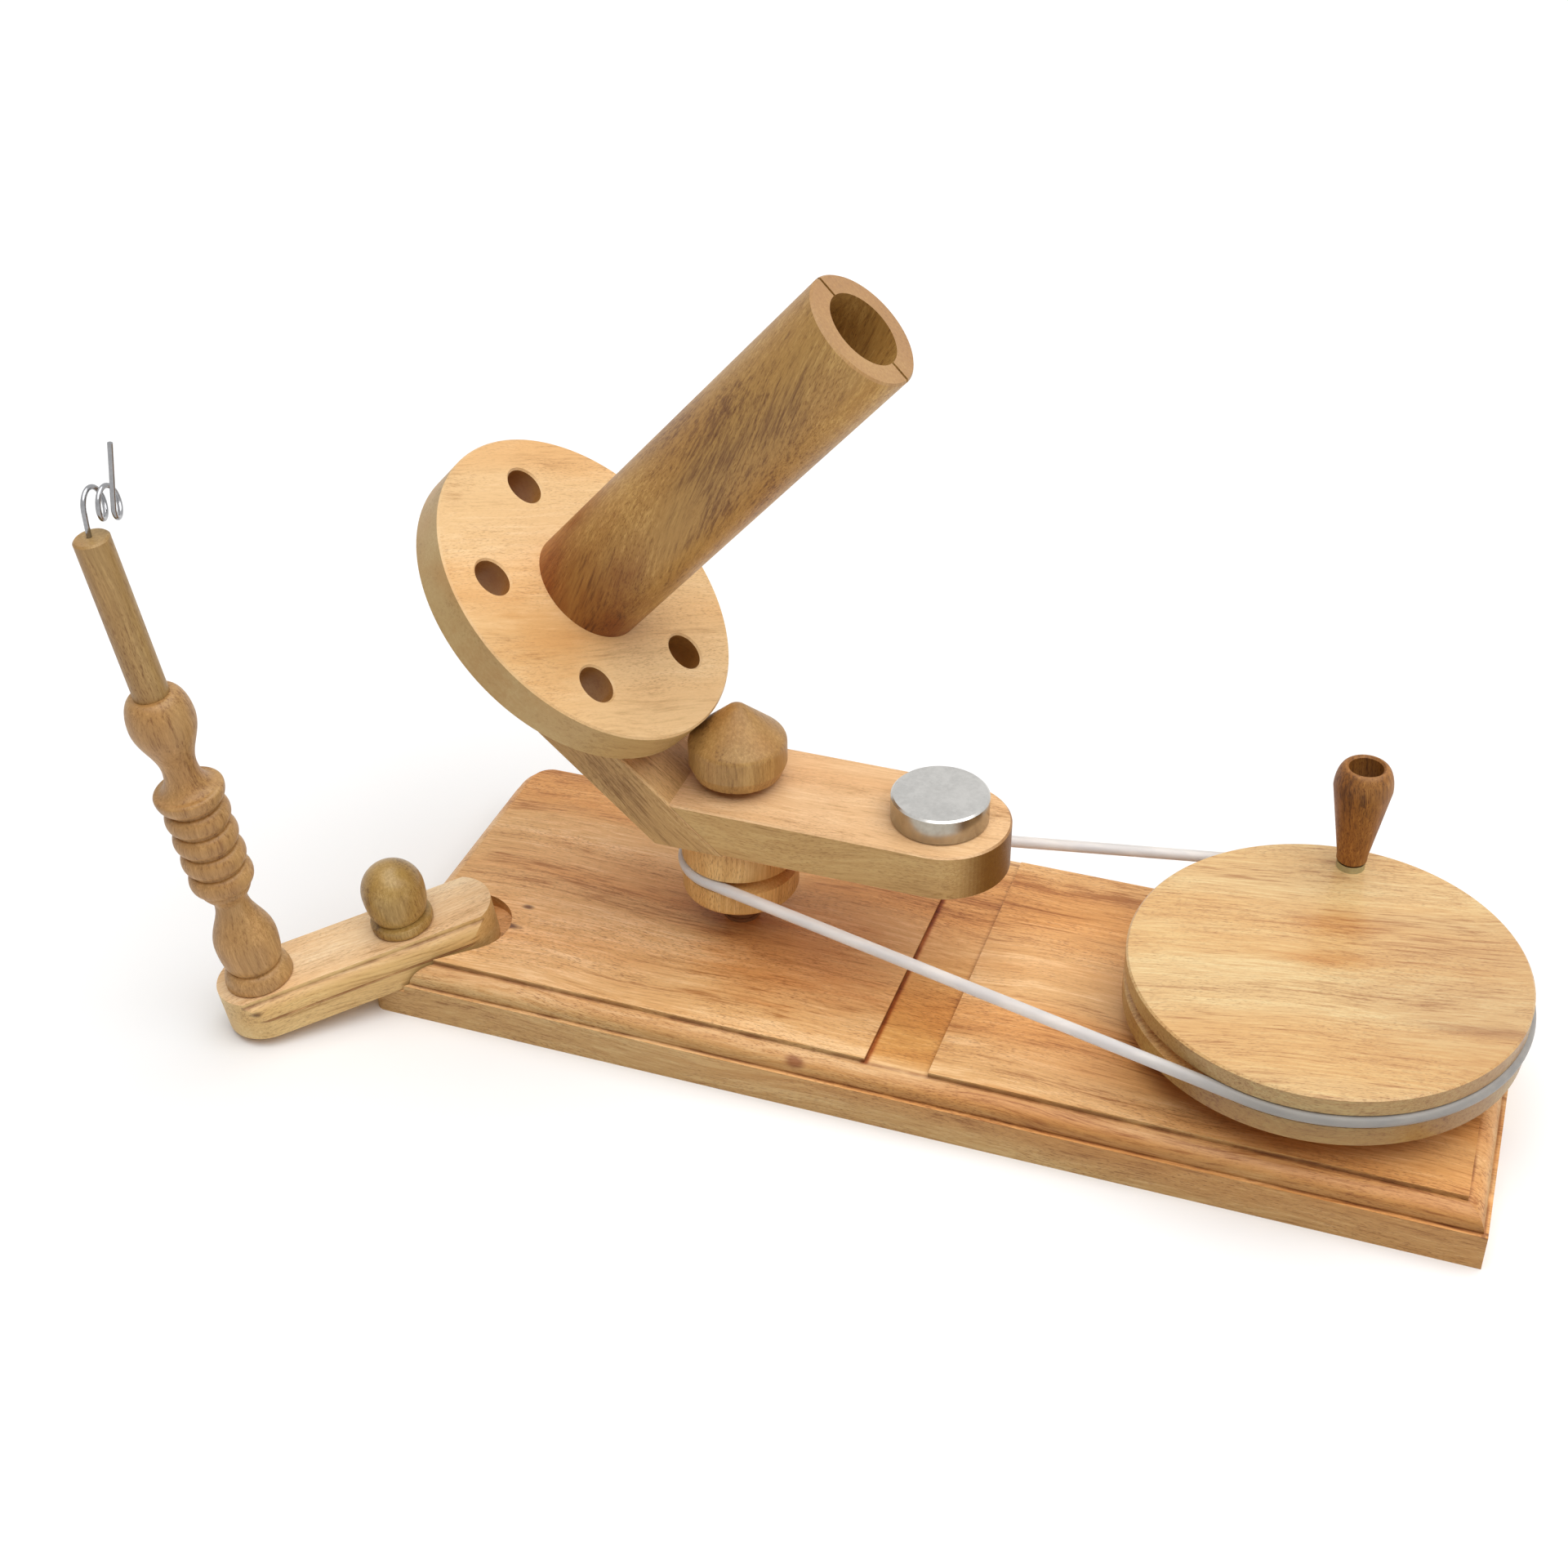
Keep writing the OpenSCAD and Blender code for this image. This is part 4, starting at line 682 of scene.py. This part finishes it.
def make_lathe():
    tree, given = new_geometry_tree("lathe", {"Sides": "NodeSocketInt", "Crease": "NodeSocketFloat",
                                              "Material": "NodeSocketMaterial"})
    outline = given["Geometry"]
    count = put(tree, "GeometryNodeAttributeDomainSize", {0: outline},
                component="CURVE").outputs["Point Count"]
    rows = calc(tree, "ADD", given["Sides"], 1)
    last = calc(tree, "SUBTRACT", count, 1)
    sheet = put(tree, "GeometryNodeMeshGrid", {"Size X": last, "Size Y": 1.0, "Vertices X": count,
                                               "Vertices Y": rows}).outputs["Mesh"]
    position = put(tree, "GeometryNodeInputPosition").outputs[0]
    here = put(tree, "ShaderNodeSeparateXYZ", {0: position}).outputs
    column = calc(tree, "ROUND", calc(tree, "ADD", here[0], calc(tree, "DIVIDE", last, 2)))
    angle = calc(tree, "MULTIPLY", calc(tree, "ADD", here[1], 0.5), 2 * math.pi)
    read = put(tree, "GeometryNodeSampleIndex", {"Geometry": outline, "Index": column,
                                                 "Value": position},
               data_type="FLOAT_VECTOR", domain="POINT", clamp=True)
    point = put(tree, "ShaderNodeSeparateXYZ", {0: read.outputs[0]}).outputs
    round_place = put(tree, "ShaderNodeCombineXYZ", {
        0: calc(tree, "MULTIPLY", point[0], calc(tree, "COSINE", angle)),
        1: calc(tree, "MULTIPLY", point[0], calc(tree, "SINE", angle)), 2: point[2]}).outputs[0]
    turned = put(tree, "GeometryNodeSetPosition", {"Geometry": sheet, "Position": round_place})
    closed = put(tree, "GeometryNodeMergeByDistance", {"Geometry": turned.outputs[0],
                                                       "Distance": MERGE_WITHIN}).outputs[0]
    smooth = put(tree, "GeometryNodeSetShadeSmooth", {"Geometry": closed}, domain="FACE").outputs[0]
    corner = put(tree, "GeometryNodeInputMeshEdgeAngle").outputs["Unsigned Angle"]
    sharp = put(tree, "FunctionNodeCompare", {0: corner, 1: given["Crease"]}, data_type="FLOAT",
                operation="GREATER_THAN").outputs[0]
    creased = put(tree, "GeometryNodeSetShadeSmooth", {"Geometry": smooth, "Selection": sharp,
                                                       "Shade Smooth": False}, domain="EDGE")
    end_tree(tree, creased.outputs[0], given["Material"])
    return tree


lathe = make_lathe()
print("lathe tree:", len(lathe.nodes), "nodes")

# %% [markdown]
# ## The outlines
# An outline is a list of radius and height in millimetres, from the middle of the foot up to the
# top. It is written with four simple curves, as a turner cuts it: an S-shaped slope, a half-round
# ring, and two quarter rounds, one that leaves its start sideways and one that leaves it upright.
# The sizes are those of the CAD pieces.

# %% Outlines of the turned pieces
EASE = 0.8
STEPS = 24


def slope(a, b):
    """An S-shaped slope from a to b."""
    return [(a[0] + (b[0] - a[0]) * (1 - math.cos(math.pi * i / STEPS)) / 2,
             a[1] + (b[1] - a[1]) * i / STEPS) for i in range(STEPS + 1)]


def half_round(inner, outer, low, high):
    """A ring that swells from the inner radius to the outer one and back."""
    middle, half = (low + high) / 2, (high - low) / 2
    return [(inner + (outer - inner) * math.sin(math.pi * i / STEPS),
             middle - half * math.cos(math.pi * i / STEPS)) for i in range(STEPS + 1)]


def quarter_out(a, b):
    """A quarter round that leaves a sideways and reaches b upright."""
    return [(a[0] + (b[0] - a[0]) * math.sin(math.pi / 2 * i / STEPS),
             b[1] - (b[1] - a[1]) * math.cos(math.pi / 2 * i / STEPS)) for i in range(STEPS + 1)]


def quarter_in(a, b):
    """A quarter round that leaves a upright and reaches b sideways."""
    return [(b[0] + (a[0] - b[0]) * math.cos(math.pi / 2 * i / STEPS),
             a[1] + (b[1] - a[1]) * math.sin(math.pi / 2 * i / STEPS)) for i in range(STEPS + 1)]


def post_outline():
    """A bell foot, a vase, four rings, a rimmed collar and a cup that holds the rod."""
    belly, ring, collar, foot, neck, groove, rod = 13.2, 13.2, 14.2, 14.3, 7.0, 10.6, 7.05
    foot_top, waist, vase_top, rings, cup, top = 8.0, 21.25, 42.5, 50.5, 103.5, 146.5
    ring_count, pitch, half_gap, rim, rim_round, cup_neck = 4, 10.6, 0.8, 99.5, 1.6, cup + 8
    foot_neck, swell, rod_sunk = belly - 2.6, cup + (top - cup) * 0.71, 3
    points = [(0, 0), (foot - EASE, 0)] + quarter_in((foot, EASE), (foot_neck, foot_top))
    points += quarter_out((foot_neck, foot_top + EASE), (belly, waist))
    points += slope((belly, waist), (neck, vase_top)) + slope((neck, vase_top), (groove, rings))
    for i in range(ring_count):
        low = rings + i * pitch
        points += half_round(groove, ring, low + half_gap, rings + (i + 1) * pitch - half_gap)
    points += quarter_out((groove, cup - pitch + half_gap), (collar, rim))
    points += quarter_in((collar, rim), (collar - rim_round, rim + rim_round))
    points += quarter_out((collar - rim_round, rim + rim_round), (neck, cup_neck))
    points += slope((neck, cup_neck), (ring, swell)) + quarter_in((ring, swell), (neck + EASE, top))
    return points + [(rod, top), (rod, top - rod_sunk)]


def knob_outline():
    """A rounded foot, a groove and a ball."""
    radius, neck, foot_top, middle, top = 13.4, 10.2, 4.5, 18.1, 31.5
    points = [(0, 0)] + half_round(radius - EASE, radius, 0, foot_top)
    points += quarter_out((neck, foot_top + EASE), (radius, middle))
    return points + quarter_in((radius, middle), (0, top))


def grip_outline():
    """A straight taper from foot to head, with a bore and a wider hole for the screw."""
    foot, head, hole, length, hole_deep, bore = 6.3, 12.0, 7.0, 46.7, 17.0, 3.05
    taper_low, taper_high = length * 0.065, length * 0.78
    points = [(bore, 0), (foot - EASE, 0), (foot, EASE), (foot, taper_low)]
    points += quarter_in((head, taper_high), (hole + EASE, length)) + [(hole, length - EASE)]
    return points + [(hole, length - hole_deep), (bore, length - hole_deep), (bore, 0)]


print("outline points:", len(post_outline()), len(knob_outline()), len(grip_outline()))

# %% [markdown]
# ## From tree to plain mesh
# A modifier's result only exists while Blender evaluates it. `new_from_object` copies that result
# into a plain mesh, which is then put in its place, joined to its CAD body and shown instead of
# the CAD node it refines, which is hidden.

# %% Turn the pieces
LATHE_SIDES, CREASE = 96, math.radians(32)


def curve_through(name, points, closed=False):
    """A poly curve through points given in metres."""
    data = bpy.data.curves.new(name, "CURVE")
    data.dimensions = "3D"
    spline = data.splines.new("POLY")
    spline.points.add(len(points) - 1)
    for point, place in zip(spline.points, points):
        point.co = (*place, 1.0)
    spline.use_cyclic_u = closed
    return add_object(name, data)


def grow(source, tree, sizes, name, place=Matrix.Identity(4)):
    """Runs a geometry tree on an object and keeps the result as a plain mesh at the origin."""
    modifier = source.modifiers.new("grow", "NODES")
    modifier.node_group = tree
    for item in tree.interface.items_tree:
        if item.in_out == "INPUT" and item.name in sizes:
            modifier[item.identifier] = sizes[item.name]
    bpy.context.view_layer.update()
    evaluated = source.evaluated_get(bpy.context.evaluated_depsgraph_get())
    mesh = bpy.data.meshes.new_from_object(evaluated)
    source.modifiers.remove(modifier)
    bpy.data.objects.remove(source)
    mesh.transform(place)
    mesh.name = name
    return add_object(name, mesh)


def outward(piece):
    """Points every face of a closed mesh outwards."""
    shape = bmesh.new()
    shape.from_mesh(piece.data)
    bmesh.ops.recalc_face_normals(shape, faces=shape.faces)
    shape.to_mesh(piece.data)
    shape.free()


def stand_in(piece, node, body):
    """Puts a finished piece on its body, in the place of its CAD node."""
    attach(piece, body)
    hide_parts(node)
    print("%s: %d faces, for %s on %s" % (piece.name, len(piece.data.polygons), node, body))


def turn_piece(name, outline, place, wood, node, body):
    path = curve_through(name + "_outline", [(r * MM, 0, h * MM) for r, h in outline])
    piece = grow(path, lathe, {"Sides": LATHE_SIDES, "Crease": CREASE, "Material": wood}, name,
                 place)
    outward(piece)
    stand_in(piece, node, body)


turn_piece("turned_post", post_outline(), post_frame, post_wood, "guide_post", "yarn_guide")
turn_piece("turned_knob", knob_outline(), knob_frame, knob_wood, "guide_knob", "knob")
turn_piece("turned_grip", grip_outline(), grip_frame, grip_wood, "crank_grip", "grip")

# %% [markdown]
# ## The belt and the wire eye
# Both are round bars that follow a path. The belt's path is two arcs and two straights between the
# wheel and the pulley; the wire goes straight up out of the rod, curls twice and ends in a tail, so
# that yarn slips in but not out. One tree sweeps a circle along either path.

# %% Sweep tree and paths


def make_sweep():
    tree, given = new_geometry_tree("sweep", {"Diameter": "NodeSocketFloat",
                                              "Sides": "NodeSocketInt",
                                              "Material": "NodeSocketMaterial"})
    radius = calc(tree, "DIVIDE", given["Diameter"], 2)
    ring = put(tree, "GeometryNodeCurvePrimitiveCircle", {"Resolution": given["Sides"],
                                                          "Radius": radius}).outputs["Curve"]
    bar = put(tree, "GeometryNodeCurveToMesh", {"Curve": given["Geometry"], "Profile Curve": ring,
                                                "Fill Caps": True}).outputs[0]
    smooth = put(tree, "GeometryNodeSetShadeSmooth", {"Geometry": bar}, domain="FACE").outputs[0]
    end_tree(tree, smooth, given["Material"])
    return tree


BELT_DIAMETER, BELT_SIDES = 5 * MM, 24
WHEEL_PITCH, WHEEL_BELT_Z = 78 * MM, 52 * MM
PULLEY_PITCH, PULLEY_BELT_Z = 24 * MM, 57 * MM


def belt_path(steps=72):
    """Two arcs round the wheel and the pulley; the loop's own closing makes the straights."""
    lean = math.asin((WHEEL_PITCH - PULLEY_PITCH) / (WHEEL_AXIS.x - ARM_AXIS.x))
    points = []
    for centre, radius, z, middle, sweep in (
            (WHEEL_AXIS.x, WHEEL_PITCH, WHEEL_BELT_Z, 0, math.pi + 2 * lean),
            (ARM_AXIS.x, PULLEY_PITCH, PULLEY_BELT_Z, math.pi, math.pi - 2 * lean)):
        for i in range(steps + 1):
            turn = middle + sweep * (i / steps - 0.5)
            points.append((centre + radius * math.cos(turn), radius * math.sin(turn), z))
    return points


WIRE_DIAMETER, WIRE_SIDES, WIRE_SIDE_STEP = 2 * MM, 16, 1 * MM
COIL_RADIUS, COIL_PITCH, COIL_TURNS, COIL_UP = 5.9 * MM, 5.6 * MM, 2, 10.2 * MM
COIL_YAW, TAIL_LEAN = math.radians(26), math.radians(16)
ROD_TOP, TAIL, SUNK = 216.5 * MM, 27.5 * MM, 12 * MM


def wire_path(steps=48):
    """Up out of the rod, round the coil and away along the tail, in the post's own axes."""
    axis = Vector((-math.cos(COIL_YAW), math.sin(COIL_YAW), 0))
    side = Vector((math.sin(COIL_YAW), math.cos(COIL_YAW), 0))
    start = Vector((-WIRE_SIDE_STEP, 0, ROD_TOP + COIL_UP))
    rise = (Z * 2 * math.pi * COIL_RADIUS + axis * COIL_PITCH).normalized()
    points = [start - rise * ((COIL_UP + SUNK) / rise.z)]
    for i in range(COIL_TURNS * steps + 1):
        turn = 2 * math.pi * i / steps
        spoke = side * math.cos(turn) + Z * math.sin(turn)
        points.append(start + (spoke - side) * COIL_RADIUS + axis * COIL_PITCH * i / steps)
    tail_way = Z * math.cos(TAIL_LEAN) + axis * math.sin(TAIL_LEAN)
    return points + [points[-1] + tail_way * TAIL]


sweep = make_sweep()
belt = grow(curve_through("belt_path", belt_path(), closed=True), sweep,
            {"Diameter": BELT_DIAMETER, "Sides": BELT_SIDES, "Material": belt_plastic},
            "round_belt")
outward(belt)
stand_in(belt, "drive_belt", "base")
eye = grow(curve_through("wire_path", wire_path()), sweep,
           {"Diameter": WIRE_DIAMETER, "Sides": WIRE_SIDES, "Material": wire_steel}, "pigtail_eye",
           post_frame)
outward(eye)
stand_in(eye, "wire_eye", "yarn_guide")

# %% [markdown]
# ## Finishes for the CAD pieces
# A CAD piece whose shape is right keeps its own mesh and only gets a better material in its slot.
# The table below says which finish each piece has. What it leaves out is plain steel, and the last
# line prints those names, so that a forgotten piece shows at once.

# %% Dress the CAD nodes
FINISHES = {
    board_wood: ["base_board"], wheel_wood: ["drive_wheel"], arm_wood: ["arm_bar"],
    riser_wood: ["arm_riser"], disc_wood: ["spindle_disc"], tube_wood: ["spindle_tube"],
    cone_wood: ["friction_cone"], pulley_wood: ["belt_pulley"], guide_wood: ["guide_arm"],
    post_wood: ["guide_post"], rod_wood: ["guide_rod"], knob_wood: ["guide_knob"],
    grip_wood: ["crank_grip"], dowel_wood: ["bend_dowels", "pulley_dowels"],
    weight_steel: ["counterweight"], dark_steel: ["centre_washer", "centre_nut", "centre_spacer"],
    ferrule_metal: ["grip_ferrule"], belt_plastic: ["drive_belt"], wire_steel: ["wire_eye"],
    bronze: ["wheel_bush_upper", "wheel_bush_lower", "arm_bush_upper", "arm_bush_lower",
             "spindle_bush", "cone_insert", "guide_insert"],
}
finish_of = {node: finish for finish, members in FINISHES.items() for node in members}
for name, piece in nodes.items():
    finish = finish_of.get(name, steel)
    piece.data.materials.clear()
    piece.data.materials.append(finish)
print("dressed", len(nodes), "nodes; steel on", sorted(set(nodes) - set(finish_of)))

# %% [markdown]
# ## Floor and light
# A product picture on white has a pale floor and one large soft light overhead, a little to the
# right, as the bright face of the tilted disc shows. A sun with a wide angle lights the floor
# evenly. The white floor throws light back on to the sides, and a dim sky keeps the hollows from
# going black. The plain colour transform keeps the wood's own colours.

# %% Studio
SUN_WAY, SUN_SPREAD, SUN_STRENGTH = (0.24, -0.06, 1.0), 80, 3.4
SKY_LIGHT, SKY_SEEN, SKY_COLOUR = 0.14, 1.02, (1.0, 0.98, 0.95, 1)
FLOOR_HALF, FLOOR_WHITE = 6.0, (0.93, 0.93, 0.93, 1)


def soft_sun(name, way, spread, strength):
    """A very wide sun: even light all over the floor, with soft shadows."""
    lamp = bpy.data.lights.new(name, "SUN")
    lamp.angle = math.radians(spread)
    lamp.energy = strength
    stand = add_object(name, lamp)
    stand.rotation_euler = Vector(way).to_track_quat("Z", "Y").to_euler()


def make_floor(half):
    mesh = bpy.data.meshes.new("floor")
    corners = [(-half, -half, 0), (half, -half, 0), (half, half, 0), (-half, half, 0)]
    mesh.from_pydata(corners, [], [(0, 1, 2, 3)])
    floor = add_object("floor", mesh)
    made, tree, shader = new_material("floor_white")
    fill(tree, shader, {"Base Color": FLOOR_WHITE, "Roughness": 0.9, "Specular IOR Level": 0.1})
    mesh.materials.append(made)


def make_sky(light, seen):
    """A dim even sky for soft light, and a white one behind the object and in its reflections."""
    world = bpy.data.worlds.new("studio")
    world.use_nodes = True
    tree = world.node_tree
    dim = tree.nodes["Background"]
    fill(tree, dim, {"Color": SKY_COLOUR, "Strength": light})
    white = put(tree, "ShaderNodeBackground", {"Color": (1, 1, 1, 1), "Strength": seen})
    soft = put(tree, "ShaderNodeLightPath").outputs["Is Diffuse Ray"]
    mixed = put(tree, "ShaderNodeMixShader", {0: soft, 1: white.outputs[0], 2: dim.outputs[0]})
    fill(tree, tree.nodes["World Output"], {"Surface": mixed.outputs[0]})
    bpy.context.scene.world = world


make_floor(FLOOR_HALF)
soft_sun("softbox", SUN_WAY, SUN_SPREAD, SUN_STRENGTH)
make_sky(SKY_LIGHT, SKY_SEEN)
bpy.context.scene.view_settings.view_transform = "Standard"
print("studio: one wide sun, a dim sky and a white floor")
